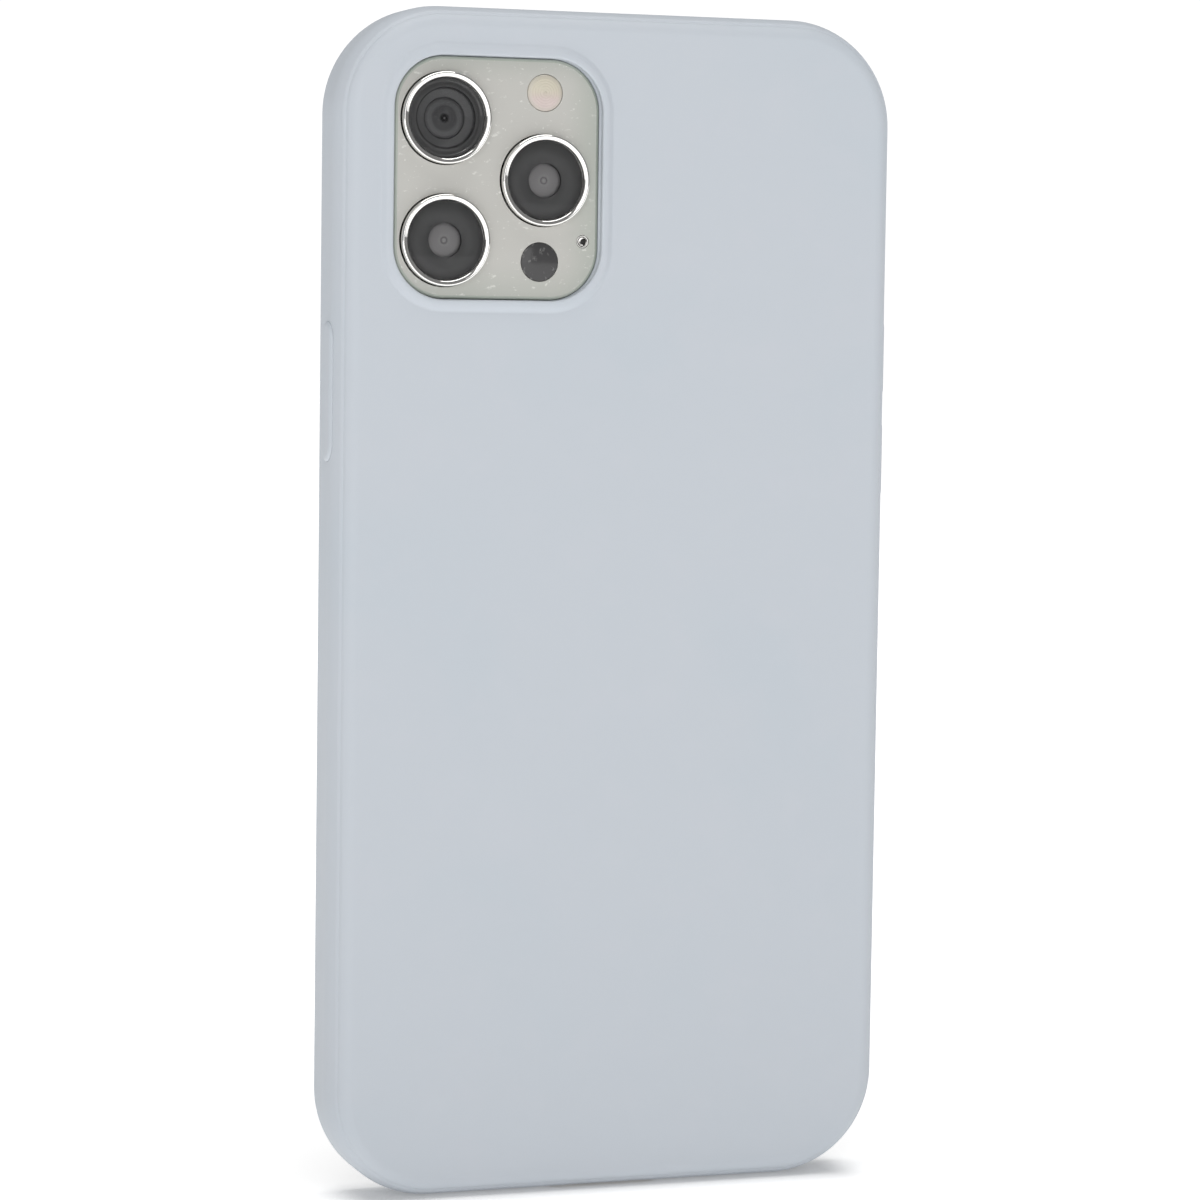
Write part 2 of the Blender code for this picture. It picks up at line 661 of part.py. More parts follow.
def make_sim():
    wall = -(HALF_WIDTH - 0.02)
    face = racetrack(14.6, 2.2, (MID_DEPTH, SIM_Z))
    tray = prism("sim_tray", face, "X", wall, wall + 1.7, STEEL)
    blade = prism(
        "cut_tray_blade",
        box_outline(MID_DEPTH - 0.45, MID_DEPTH + 0.45, SIM_Z - 6.2, SIM_Z + 6.2),
        "X",
        wall + 1.2,
        wall + 15.5,
        None,
    )
    boolean(tray, hidden(blade), "UNION")
    pocket = box_outline(wall + 4.0, wall + 14.0, SIM_Z - 4.6, SIM_Z + 4.6)
    boolean(tray, cutter("card_pocket", [(pocket, "Y", MID_DEPTH - 1, MID_DEPTH + 0.2)]), "DIFFERENCE")
    card = [
        (wall + 4.2, SIM_Z - 4.4),
        (wall + 13.8, SIM_Z - 4.4),
        (wall + 13.8, SIM_Z + 3.0),
        (wall + 12.4, SIM_Z + 4.4),
        (wall + 4.2, SIM_Z + 4.4),
    ]
    prism("sim_card", card, "Y", MID_DEPTH - 0.42, MID_DEPTH + 0.15, CARD)
    reader = box_outline(wall + 2.6, wall + 16.5, SIM_Z - 7.2, SIM_Z + 7.2)
    shell = prism("sim_reader", reader, "Y", MID_DEPTH - 0.85, MID_DEPTH + 0.85, SHIELD)
    mouth = box_outline(MID_DEPTH - 0.6, MID_DEPTH + 0.6, SIM_Z - 6.6, SIM_Z + 6.6)
    boolean(shell, cutter("reader_mouth", [(mouth, "X", wall + 1, wall + 15.9)]), "DIFFERENCE")


def make_bottom():
    low = PHONE_BOTTOM + 0.25
    shell_outline = turned_quarter(racetrack(PORT_WIDTH, PORT_THICK, (MID_DEPTH, 0)))
    shell = prism("charge_port_shell", shell_outline, "Z", low, PHONE_BOTTOM + 8.0, STEEL)
    mouth = turned_quarter(racetrack(PORT_WIDTH - 0.6, PORT_THICK - 0.6, (MID_DEPTH, 0)))
    boolean(shell, cutter("port_mouth", [(mouth, "Z", low - 1, PHONE_BOTTOM + 7.4)]), "DIFFERENCE")
    tongue = rounded_outline(3.4, 0.35, 0.15, (0, MID_DEPTH), steps=2)
    prism("charge_port_tongue", tongue, "Z", low + 0.9, PHONE_BOTTOM + 7.2, BLACK)
    flex = [(-5.5, 10.2), (5.5, 10.2), (5.5, 14.0), (2.0, 18.0)]
    flex += [(2.0, 26.8), (-2.0, 26.8), (-2.0, 14.0), (-5.5, 14.0)]
    prism("port_flex", flex, "Y", MID_DEPTH - 0.2, MID_DEPTH + 0.1, FLEX)
    for side, where in ((-1, "left"), (1, "right")):
        bm = bmesh.new()
        steps = 14
        levels = [(SCREW_HEAD, low), (SCREW_HEAD, low + 0.7), (0.5, low + 0.7), (0.5, low + 4.0)]
        loops = [[AXES["Z"](u, v, z) for u, v in circle(r, steps=steps)] for r, z in levels]
        loft_into(bm, loops)
        screw = finish("bottom_screw_" + where, bm, STEEL, (side * SCREW_X, MID_DEPTH, 0))
        socket = circle(0.42, (side * SCREW_X, MID_DEPTH), 5)
        boolean(screw, cutter("screw_socket_" + where, [(socket, "Z", low - 1, low + 0.4)]), "DIFFERENCE")
    floor = PHONE_BOTTOM + BAND_WALL + 0.5
    speaker = [(10.5, floor), (24.0, floor), (31.5, 8.6), (35.0, 15.0), (35.0, 26.5), (10.5, 26.5)]
    prism("loudspeaker", speaker, "Y", INNER_FRONT, INNER_BACK, BLACK)
    mic = rounded_outline(2.2, 1.4, 0.3, (-(SPEAKER_FIRST_X + SPEAKER_PITCH), floor + 1.4), steps=2)
    prism("bottom_microphone", mic, "Y", MID_DEPTH - 1.0, MID_DEPTH + 1.0, SHIELD)
    make_haptic()


def make_haptic():
    """The actuator's can, open at the back, and the mass that shakes along X inside it."""
    x, z = -21.5, 16.5
    half = (12.0, 6.2)
    front, back = INNER_FRONT, INNER_BACK
    can = prism("haptic_can", rounded_outline(*half, 1.0, (x, z), steps=3), "Y", front, back, SHIELD)
    inside = rounded_outline(half[0] - 0.5, half[1] - 0.5, 0.6, (x, z), steps=3)
    boolean(can, cutter("haptic_inside", [(inside, "Y", front + 0.5, back + 1)]), "DIFFERENCE")
    mass = rounded_outline(half[0] - 1.6, half[1] - 1.0, 0.4, steps=2)
    prism("haptic_mass", mass, "Y", front + 0.8, back - 0.4, MAGNET, (x, 0, z))


make_case()
make_buttons()
make_band()
make_screen()
make_rear_glass()
for lens_name, lens_place in LENSES.items():
    make_camera(lens_name, lens_place)
make_island_parts()
make_chassis()
make_power()
make_boards()
make_sim()
make_bottom()
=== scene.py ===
import json
import math

import bmesh
import bpy
from mathutils import Matrix, Vector


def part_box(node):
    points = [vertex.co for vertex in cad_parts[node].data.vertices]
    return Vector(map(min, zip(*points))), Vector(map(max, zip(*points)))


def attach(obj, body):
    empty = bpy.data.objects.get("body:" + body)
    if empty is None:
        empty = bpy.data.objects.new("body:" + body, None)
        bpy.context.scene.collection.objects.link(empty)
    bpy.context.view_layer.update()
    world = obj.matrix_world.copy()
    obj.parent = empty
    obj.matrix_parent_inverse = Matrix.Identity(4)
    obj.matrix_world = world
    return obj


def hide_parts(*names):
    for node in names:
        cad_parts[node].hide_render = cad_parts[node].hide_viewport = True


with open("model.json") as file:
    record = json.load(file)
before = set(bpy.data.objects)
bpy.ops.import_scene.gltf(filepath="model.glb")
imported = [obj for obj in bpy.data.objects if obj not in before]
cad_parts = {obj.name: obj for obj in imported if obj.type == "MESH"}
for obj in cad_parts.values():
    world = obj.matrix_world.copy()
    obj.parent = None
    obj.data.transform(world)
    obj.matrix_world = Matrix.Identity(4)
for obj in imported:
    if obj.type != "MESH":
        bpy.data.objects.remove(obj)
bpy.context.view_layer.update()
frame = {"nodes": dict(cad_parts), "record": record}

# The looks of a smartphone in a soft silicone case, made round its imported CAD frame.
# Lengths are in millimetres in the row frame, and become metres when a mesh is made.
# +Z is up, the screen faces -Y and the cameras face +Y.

MM = 0.001

# ---- places, read from the frame ---------------------------------------------------------------


def box_mm(node):
    low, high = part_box(node)
    return Vector(low) / MM, Vector(high) / MM


def centre_mm(node):
    low, high = box_mm(node)
    return (low + high) / 2


def mount_depth(name):
    """The Y of a flat mount, in millimetres."""
    return next(m["pos_m"][1] for m in frame["record"]["mounts"] if m["name"] == name) / MM


CASE_LOW, CASE_HIGH = box_mm("case_shell")
CASE_HALF = ((CASE_HIGH.x - CASE_LOW.x) / 2, (CASE_HIGH.z - CASE_LOW.z) / 2)
MIDDLE_Z = (CASE_HIGH.z + CASE_LOW.z) / 2
FRONT = CASE_LOW.y
BACK = mount_depth("back_face")
SCREEN = mount_depth("screen_face")
RING_TOP = box_mm("lens_ring_main")[1].y
GLASS_LOW, GLASS_HIGH = box_mm("rear_glass")
ISLAND_TOP = GLASS_HIGH.y
PHONE_HALF_X = box_mm("frame_band")[1].x
PHONE_BOTTOM = box_mm("frame_band")[0].z
KEY_DEPTH = centre_mm("side_button").y
LENSES = {name: centre_mm("lens_ring_" + name) for name in ("main", "tele", "ultrawide")}
LENS_BODIES = {"main": "main_focus_carriage", "tele": "tele_focus_carriage", "ultrawide": "handset"}

# ---- dimensions that the frame's boxes don't state -----------------------------------------------
CASE_CORNER = 14.8
CASE_WALL = 1.35
CASE_SIDE = CASE_HALF[0] - PHONE_HALF_X
EDGE_INWARD = 3.0
EDGE_FORWARD = 4.5
CREASE_DEPTH = 1.0
FLOOR_THICK = 1.4
LIP_COVERS = 0.6
CUTOUT_CENTRE = (18.2, 140.5)
CUTOUT_HALF = (14.85, 16.5)
CUTOUT_CORNER = 7.2
BEAD_HEIGHT = CASE_HIGH.y - BACK
ISLAND_CENTRE = (18.3, 140.5)
ISLAND_HALF = (14.5, 16.27)
ISLAND_CORNER = 6.9
RING_RADIUS = 6.25
RING_GAP = 0.08
COVER_RADIUS = 5.4
COVER_TOP = RING_TOP - 0.3
COVER_UNDER = RING_TOP - 0.85
BARREL_RADIUS = 4.4
BARREL_ROUNDING = 0.15
MASK_RADIUS = 5.38
WINDOW_GAP = 0.05
SKIRT_GAP = 0.17
PAD_GAP = 0.03
PAD_RISE = 0.34
MUTE_OPENING_HALF = (3.0, 5.5)
MUTE_OPENING_CORNER = 2.2
PORT_OPENING = (17.0, 5.6)
SPEAKER_OPENING = (12.0, 2.6)
SPEAKER_X = 15.9
SCREEN_BORDER = (1.3, 4.0)


# ---- outlines: lists of (u, v) points, anticlockwise -----------------------------------------------
def rounded_outline(half_u, half_v, radius, centre=(0, 0), steps=24):
    points = []
    for turn, (su, sv) in enumerate(((1, 1), (-1, 1), (-1, -1), (1, -1))):
        cu = centre[0] + su * (half_u - radius)
        cv = centre[1] + sv * (half_v - radius)
        for i in range(steps + 1):
            angle = math.pi / 2 * (turn + i / steps)
            points.append((cu + radius * math.cos(angle), cv + radius * math.sin(angle)))
    return points


def racetrack(length, width, centre=(0, 0), steps=16):
    """A slot with round ends, its length along v."""
    points = []
    for turn, sign in ((0, 1), (math.pi, -1)):
        cv = centre[1] + sign * (length - width) / 2
        for i in range(steps + 1):
            angle = turn + math.pi * i / steps
            points.append((centre[0] + width / 2 * math.cos(angle), cv + width / 2 * math.sin(angle)))
    return points


def turned_quarter(outline):
    return [(v, u) for u, v in reversed(outline)]


def circle(radius, centre=(0, 0), steps=48):
    angles = [2 * math.pi * i / steps for i in range(steps)]
    return [(centre[0] + radius * math.cos(a), centre[1] + radius * math.sin(a)) for a in angles]


def case_outline(inset):
    half_x, half_z = CASE_HALF
    return rounded_outline(half_x - inset, half_z - inset, CASE_CORNER - inset, (0, MIDDLE_Z))


def cutout_outline(inset):
    half_x, half_z = CUTOUT_HALF
    return rounded_outline(half_x - inset, half_z - inset, CUTOUT_CORNER - inset, CUTOUT_CENTRE)


def island_outline(inset):
    half_x, half_z = ISLAND_HALF
    return rounded_outline(half_x - inset, half_z - inset, ISLAND_CORNER - inset, ISLAND_CENTRE)


def phone_outline(inset):
    return case_outline(CASE_SIDE + inset)


# ---- meshes ----------------------------------------------------------------------------------------
AXES = {
    "X": lambda u, v, w: Vector((w, u, v)),
    "Y": lambda u, v, w: Vector((u, w, v)),
    "Z": lambda u, v, w: Vector((u, v, w)),
}


def loft_into(bm, loops, ring=False, material_index=0):
    """Skins loops of points; a loop of one point is a pole. Ends are capped, or joined in a ring."""
    rows = [[bm.verts.new(point) for point in loop] for loop in loops]
    pairs = list(zip(rows, rows[1:]))
    if ring:
        pairs.append((rows[-1], rows[0]))
    faces = []
    for a, b in pairs:
        count = max(len(a), len(b))
        for i in range(count):
            j = (i + 1) % count
            corners = [a[i % len(a)], a[j % len(a)], b[j % len(b)], b[i % len(b)]]
            faces.append(bm.faces.new(list(dict.fromkeys(corners))))
    if not ring:
        faces += [bm.faces.new(row) for row in (rows[0], rows[-1]) if len(row) > 2]
    for face in faces:
        face.material_index = material_index


def make_object(name, bm, *materials):
    bmesh.ops.recalc_face_normals(bm, faces=bm.faces)
    mesh = bpy.data.meshes.new(name)
    bm.to_mesh(mesh)
    bm.free()
    mesh.transform(Matrix.Scale(MM, 4))
    mesh.shade_smooth()
    for material in materials:
        mesh.materials.append(material)
    obj = bpy.data.objects.new(name, mesh)
    bpy.context.scene.collection.objects.link(obj)
    return obj


def lofted(name, loops, *materials, ring=False):
    bm = bmesh.new()
    loft_into(bm, loops, ring)
    return make_object(name, bm, *materials)


def stacked_loops(outline_at, profile):
    """Loops of an outline that changes with its inset; profile is (inset, y) points."""
    return [[AXES["Y"](u, v, y) for u, v in outline_at(inset)] for inset, y in profile]


def lathe_loops(profile, centre, steps=96):
    """Loops round a line along Y; profile is (radius, y) points."""
    loops = []
    for radius, y in profile:
        points = circle(radius, (centre.x, centre.z), steps) if radius else [(centre.x, centre.z)]
        loops.append([AXES["Y"](u, v, y) for u, v in points])
    return loops


def lathed(name, profile, centre, *materials, ring=False, steps=96):
    return lofted(name, lathe_loops(profile, centre, steps), *materials, ring=ring)


def arc(start, end, corner, steps=5):
    """Points of a quarter ellipse from start to end that bulges towards corner, ends included."""
    points = []
    for i in range(steps + 1):
        a = math.pi / 2 * i / steps
        weight_start, weight_end = 1 - math.sin(a), 1 - math.cos(a)
        points.append(
            tuple(c + (s - c) * weight_start + (e - c) * weight_end for s, e, c in zip(start, end, corner))
        )
    return points


def apply_modifiers(obj):
    graph = bpy.context.evaluated_depsgraph_get()
    mesh = bpy.data.meshes.new_from_object(obj.evaluated_get(graph), depsgraph=graph)
    obj.modifiers.clear()
    obj.data = mesh


def carve(obj, prisms, rounding, segments=3):
    """Cuts prisms, (outline, axis, low, high) each, out of obj, and rounds the edges of the cuts."""
    bm = bmesh.new()
    for outline, axis, low, high in prisms:
        loft_into(bm, [[AXES[axis](u, v, w) for u, v in outline] for w in (low, high)], material_index=1)
    own = obj.data.materials[0]
    cutter = make_object("cutter", bm, own, own)
    obj.data.materials.append(own)
    cut = obj.modifiers.new("openings", "BOOLEAN")
    cut.operation = "DIFFERENCE"
    cut.object = cutter
    apply_modifiers(obj)
    bpy.data.objects.remove(cutter)
    bm = bmesh.new()
    bm.from_mesh(obj.data)
    weight = bm.edges.layers.float.new("bevel_weight_edge")
    for edge in bm.edges:
        indices = {face.material_index for face in edge.link_faces}
        if len(indices) == 2:
            edge[weight] = 1
    for face in bm.faces:
        face.material_index = 0
    bm.to_mesh(obj.data)
    bm.free()
    obj.data.materials.pop()
    bevel = obj.modifiers.new("rounding", "BEVEL")
    bevel.limit_method = "WEIGHT"
    bevel.width = rounding * MM
    bevel.segments = segments
    bevel.use_clamp_overlap = True


def weigh_normals(obj):
    """Flat faces keep their own shading beside small rounded edges."""
    weighted = obj.modifiers.new("shading", "WEIGHTED_NORMAL")
    weighted.weight = 90
    weighted.keep_sharp = True


# ---- materials -------------------------------------------------------------------------------------
class Look:
    """A Principled material whose colour, roughness and bump come from textures in object space."""

    def __init__(self, name, colour, roughness, metallic=0.0, **uniform):
        self.material = bpy.data.materials.new(name)
        self.material.use_nodes = True
        self.nodes = self.material.node_tree.nodes
        self.links = self.material.node_tree.links
        self.shader = self.nodes["Principled BSDF"]
        self.material.diffuse_color = (*colour, 1)
        self.shader.inputs["Metallic"].default_value = metallic
        for socket, value in uniform.items():
            self.shader.inputs[socket.replace("_", " ")].default_value = value
        self.place = self.nodes.new("ShaderNodeTexCoord").outputs["Object"]
        self.colour = self.value_of_colour(colour)
        self.roughness = self.number(roughness)
        self.bump = None

    def value_of_colour(self, colour):
        node = self.nodes.new("ShaderNodeRGB")
        node.outputs[0].default_value = (*colour, 1)
        return node.outputs[0]

    def number(self, value):
        node = self.nodes.new("ShaderNodeValue")
        node.outputs[0].default_value = value
        return node.outputs[0]

    def stretched(self, stretch, turn=(0, 0, 0)):
        """The place, scaled along each axis, so that a texture on it is drawn out."""
        node = self.nodes.new("ShaderNodeMapping")
        node.inputs["Scale"].default_value = stretch
        node.inputs["Rotation"].default_value = turn
        self.links.new(self.place, node.inputs["Vector"])
        return node.outputs["Vector"]

    def noise(self, size, detail=3, place=None, rough=0.5):
        """Noise from 0 to 1 whose blobs are about size millimetres wide."""
        node = self.nodes.new("ShaderNodeTexNoise")
        node.inputs["Scale"].default_value = 1 / (size * MM)
        node.inputs["Detail"].default_value = detail
        node.inputs["Roughness"].default_value = rough
        self.links.new(place or self.place, node.inputs["Vector"])
        return node.outputs["Fac"]

    def remap(self, value, low, high, to_low=0.0, to_high=1.0):
        """A smooth step from to_low to to_high as value goes from low to high."""
        node = self.nodes.new("ShaderNodeMapRange")
        node.interpolation_type = "SMOOTHSTEP"
        self.links.new(value, node.inputs["Value"])
        ends = {"From Min": low, "From Max": high, "To Min": to_low, "To Max": to_high}
        for socket, number in ends.items():
            node.inputs[socket].default_value = number
        return node.outputs["Result"]

    def math(self, operation, a, b=None):
        node = self.nodes.new("ShaderNodeMath")
        node.operation = operation
        for socket, value in zip(node.inputs, (a, b)):
            if value is None:
                continue
            if isinstance(value, (int, float)):
                socket.default_value = value
            else:
                self.links.new(value, socket)
        return node.outputs[0]

    def tint(self, factor, colour, strength=1.0):
        """Mixes colour into the base colour by factor."""
        node = self.nodes.new("ShaderNodeMix")
        node.data_type = "RGBA"
        node.blend_type = "MIX"
        node.clamp_factor = True
        self.links.new(self.math("MULTIPLY", factor, strength), node.inputs["Factor"])
        self.links.new(self.colour, node.inputs["A"])
        node.inputs["B"].default_value = (*colour, 1)
        self.colour = node.outputs["Result"]
        return self

    def roughen(self, factor, amount):
        self.roughness = self.math("ADD", self.roughness, self.math("MULTIPLY", factor, amount))
        return self

    def raise_by(self, height, depth):
        """Bump by a height from 0 to 1, which stands for depth millimetres."""
        node = self.nodes.new("ShaderNodeBump")
        node.inputs["Distance"].default_value = depth * MM
        node.inputs["Strength"].default_value = 1.0
        self.links.new(height, node.inputs["Height"])
        if self.bump:
            self.links.new(self.bump, node.inputs["Normal"])
        self.bump = node.outputs["Normal"]
        return self

    def mottled(self, size, colour, low=0.45, high=0.75, strength=0.3):
        return self.tint(self.remap(self.noise(size), low, high), colour, strength=strength)

    def radius_from(self, centre):
        """Millimetres from a line along Y through centre."""
        node = self.nodes.new("ShaderNodeVectorMath")
        node.operation = "MULTIPLY_ADD"
        self.links.new(self.place, node.inputs[0])
        node.inputs[1].default_value = (1 / MM, 0, 1 / MM)
        node.inputs[2].default_value = (-centre.x, 0, -centre.z)
        length = self.nodes.new("ShaderNodeVectorMath")
        length.operation = "LENGTH"
        self.links.new(node.outputs[0], length.inputs[0])
        return length.outputs["Value"]

    def along(self, axis):
        """One coordinate of the place, in millimetres."""
        node = self.nodes.new("ShaderNodeSeparateXYZ")
        self.links.new(self.place, node.inputs[0])
        return self.math("MULTIPLY", node.outputs[axis], 1 / MM)

    def squared_beyond(self, axis, half):
        """The square of how far a place lies outside a band of that half width."""
        outside = self.math("SUBTRACT", self.math("ABSOLUTE", self.along(axis)), half)
        return self.math("POWER", self.math("MAXIMUM", outside, 0), 2)

    def done(self):
        self.links.new(self.colour, self.shader.inputs["Base Color"])
        self.links.new(self.roughness, self.shader.inputs["Roughness"])
        if self.bump:
            self.links.new(self.bump, self.shader.inputs["Normal"])
        return self.material


def srgb(red, green, blue):
    """The linear colour of a display colour of 0 to 255."""
    shares = (red / 255, green / 255, blue / 255)
    return tuple(c / 12.92 if c <= 0.04045 else ((c + 0.055) / 1.055) ** 2.4 for c in shares)


def specks(look, cell, radius, colour, strength):
    """Sparse round specks: one in each cell of that many millimetres, most of them too small to see."""
    node = look.nodes.new("ShaderNodeTexVoronoi")
    node.inputs["Scale"].default_value = 1 / (cell * MM)
    look.links.new(look.place, node.inputs["Vector"])
    spot = look.remap(node.outputs["Distance"], radius / cell, 0.4 * radius / cell)
    return look.tint(spot, colour, strength=strength)


def silicone():
    look = Look("silicone", srgb(193, 199, 206), 0.52, Sheen_Weight=0.06, Sheen_Roughness=0.5)
    look.mottled(34, srgb(188, 197, 205), strength=0.5)
    look.mottled(6, srgb(197, 201, 208), strength=0.25)
    specks(look, 31, 0.75, srgb(172, 183, 192), 0.5)
    look.roughen(look.noise(9), 0.08)
    look.raise_by(look.noise(0.12, 2), 0.006)
    look.raise_by(look.noise(2.2, 2), 0.01)
    return look.done()


def island_glass():
    look = Look("island_glass", srgb(191, 190, 185), 0.3, Coat_Weight=0.35, Coat_Roughness=0.08)
    look.mottled(16, srgb(197, 196, 191), strength=0.6)
    # Painted shade: the plate turns a darker grey-green towards its low-X side, its bottom and its top,
    # beside the bead's wall.
    green = srgb(171, 176, 168)
    look.tint(look.remap(look.along("X"), 9.5, 4.0), green, strength=0.75)
    look.tint(look.remap(look.along("Z"), 130.0, 124.5), green, strength=0.5)
    look.tint(look.remap(look.along("Z"), 153.0, 156.5), green, strength=0.4)
    film = look.noise(1.3, 5, look.stretched((1, 1, 2.0), (0, 0.5, 0)), 0.65)
    look.tint(look.remap(film, 0.61, 0.68), srgb(224, 224, 219), strength=0.6)
    dust = look.noise(0.5, 4)
    look.tint(look.remap(dust, 0.68, 0.74), srgb(230, 230, 226), strength=0.55)
    look.roughen(look.remap(film, 0.5, 0.75), 0.2)
    return look.done()


def island_edge():
    look = Look("island_edge", srgb(170, 176, 167), 0.25, Coat_Weight=0.3, Coat_Roughness=0.05)
    # Painted shade: the rim turns darker towards its low-X side, beside the bead's wall; the base grey-green
    # is the glass edge's own colour.
    look.tint(look.remap(look.along("X"), 7.5, 4.6), srgb(140, 148, 139), strength=0.9)
    look.mottled(5, srgb(162, 170, 161), strength=0.4)
    return look.done()


def polished_steel(name="polished_steel", colour=(0.86, 0.85, 0.83), rough=0.07):
    look = Look(name, colour, rough, 1.0)
    look.mottled(3, (0.78, 0.77, 0.75), strength=0.5)
    look.roughen(look.remap(look.noise(0.8, 5), 0.45, 0.8), 0.1)
    look.raise_by(look.noise(0.5, 3), 0.002)
    return look.done()


def satin_metal(name, colour, rough=0.32, size=0.06, stretch=(1, 1, 12)):
    look = Look(name, colour, rough, 1.0)
    streak = look.noise(size, 3, look.stretched(stretch))
    look.tint(look.remap(streak, 0.4, 0.7), tuple(0.8 * c for c in colour), strength=0.5)
    look.mottled(7, tuple(0.9 * c for c in colour))
    look.roughen(streak, 0.12)
    look.raise_by(streak, 0.003)
    return look.done()


def moulded(name, colour, rough=0.45, grain=0.1, depth=0.004):
    look = Look(name, colour, rough)
    look.mottled(5, tuple(min(1, 1.25 * c + 0.004) for c in colour), strength=0.35)
    look.roughen(look.noise(3), 0.1)
    look.raise_by(look.noise(grain, 2), depth)
    return look.done()


def clear_glass():
    """Coated cover glass: it barely reflects, so most of what is behind it shows."""
    look = Look("lens_glass", (0.02, 0.02, 0.022), 0.03, Alpha=0.2, IOR=1.6)
    look.mottled(4, (0.03, 0.03, 0.034), strength=0.5)
    look.roughen(look.remap(look.noise(1.1, 5), 0.55, 0.8), 0.05)
    return look.done()


def screen_glass():
    look = Look("screen_glass", (0.01, 0.01, 0.011), 0.03, Alpha=0.22, IOR=1.5)
    look.mottled(30, (0.014, 0.014, 0.016), strength=0.5)
    smear = look.noise(12, 5, look.stretched((1, 1, 0.4), (0, 0.6, 0)))
    look.roughen(look.remap(smear, 0.5, 0.8), 0.1)
    return look.done()


def dark_panel(name, colour, rough):
    """A flat even black under glass, with nothing but faint changes of gloss."""
    look = Look(name, colour, rough)
    look.mottled(25, tuple(1.6 * c for c in colour), strength=0.5)
    look.roughen(look.noise(18, 2), 0.05)
    return look.done()


def lens_black(name, grey, rough):
    look = Look(name, (grey, grey, grey), rough)
    look.mottled(2, (grey * 1.15,) * 3, strength=0.5)
    look.roughen(look.noise(2, 3), 0.08)
    return look.done()


def ringed(name, centre, rings, base, rough=0.25, **uniform):
    """Concentric bands about a line along Y: rings are (radius, half width, colour, strength)."""
    look = Look(name, base, rough, **uniform)
    radius = look.radius_from(centre)
    for at, half, colour, strength in rings:
        away = look.math("ABSOLUTE", look.math("SUBTRACT", radius, at))
        look.tint(look.remap(away, half, half * 0.35), colour, strength=strength)
    look.mottled(1.2, tuple(1.15 * c for c in base), strength=0.25)
    return look.done()


def flash_milk(centre):
    look = Look("flash_milk", srgb(206, 199, 182), 0.22, Coat_Weight=0.5, Coat_Roughness=0.06)
    height = look.math("SUBTRACT", look.along("Z"), centre.z)
    lower = look.remap(height, 0.5, -1.1)
    look.tint(lower, srgb(205, 189, 185), strength=0.95)
    radius = look.radius_from(centre)
    look.tint(look.remap(radius, 1.7, 2.5), srgb(186, 181, 170), strength=0.7)
    ripple = look.math("SINE", look.math("MULTIPLY", radius, 2 * math.pi / 0.36))
    look.raise_by(look.remap(ripple, -1, 1), 0.02)
    return look.done()


def circuit_board():
    look = Look("circuit_board", (0.015, 0.05, 0.09), 0.4)
    look.mottled(1.5, (0.03, 0.09, 0.14), strength=0.6)
    tracks = look.nodes.new("ShaderNodeTexBrick")
    tracks.inputs["Scale"].default_value = 400
    look.links.new(look.stretched((1, 1, 1), (math.pi / 2, 0, 0)), tracks.inputs["Vector"])
    look.tint(tracks.outputs["Fac"], (0.35, 0.25, 0.08), strength=0.7)
    look.raise_by(tracks.outputs["Fac"], 0.02)
    return look.done()


def perforated(name, pitch):
    """Fine sheet with a regular grid of dark round holes."""
    look = Look(name, (0.5, 0.5, 0.49), 0.35, 1.0)
    node = look.nodes.new("ShaderNodeTexVoronoi")
    node.inputs["Scale"].default_value = 1 / (pitch * MM)
    node.inputs["Randomness"].default_value = 0
    look.links.new(look.place, node.inputs["Vector"])
    hole = look.remap(node.outputs["Distance"], 0.42, 0.3)
    look.tint(hole, (0.01, 0.01, 0.01))
    look.roughen(hole, 0.4)
    look.raise_by(look.remap(hole, 0, 1, 1, 0), 0.05)
    return look.done()


def contacts():
    """A black tongue with a row of gilt contacts across it."""
    look = Look("contacts", (0.02, 0.02, 0.02), 0.35)
    wave = look.math("SINE", look.math("MULTIPLY", look.along("X"), 2 * math.pi / 0.9))
    strip = look.remap(wave, 0.1, 0.3)
    look.tint(strip, (0.7, 0.45, 0.14))
    look.roughen(look.noise(0.4), 0.1)
    look.raise_by(strip, 0.02)
    return look.done()


def wound_copper(centre):
    look = Look("wound_copper", (0.62, 0.3, 0.14), 0.3, 1.0)
    radius = look.radius_from(centre)
    wave = look.remap(look.math("SINE", look.math("MULTIPLY", radius, 2 * math.pi / 0.5)), -1, 1)
    look.tint(wave, (0.3, 0.12, 0.05), strength=0.6)
    look.roughen(look.noise(2), 0.1)
    look.raise_by(wave, 0.05)
    return look.done()


def segmented_magnet(centre):
    look = Look("segmented_magnet", (0.42, 0.42, 0.44), 0.28, 1.0)
    radius = look.radius_from(centre)
    look.tint(look.remap(radius, 24.4, 24.7), (0.3, 0.3, 0.32), strength=0.4)
    look.mottled(2, (0.35, 0.35, 0.37), strength=0.5)
    look.roughen(look.noise(1), 0.15)
    return look.done()


SILICONE = silicone()
ISLAND_GLASS = island_glass()
ISLAND_EDGE = island_edge()
STEEL = polished_steel()
BUTTON_STEEL = polished_steel("button_steel", (0.7, 0.69, 0.67), 0.16)
CLEAR = clear_glass()
LENS_BLACK = lens_black("lens_black", 0.104, 0.5)
TUBE_BLACK = lens_black("tube_black", 0.012, 0.5)
COLLAR_BLACK = lens_black("collar_black", 0.098, 0.3)
CAN = satin_metal("shield_can", (0.6, 0.6, 0.58))
ALUMINIUM = satin_metal("milled_aluminium", (0.66, 0.66, 0.68), 0.3, 0.08, (12, 1, 1))
BLACK_PLASTIC = moulded("black_plastic", (0.02, 0.02, 0.021))
FLEX = moulded("amber_flex", (0.25, 0.12, 0.03), 0.35)


# ---- the silicone case -----------------------------------------------------------------------------
def wall_inset(y):
    """How far the case's outer wall lies in from its widest, at a depth y."""
    start = BACK - EDGE_FORWARD
    if y <= start:
        return 0.0
    sine = min(1.0, (y - start) / EDGE_FORWARD)
    return EDGE_INWARD * (1 - math.sqrt(1 - sine * sine))


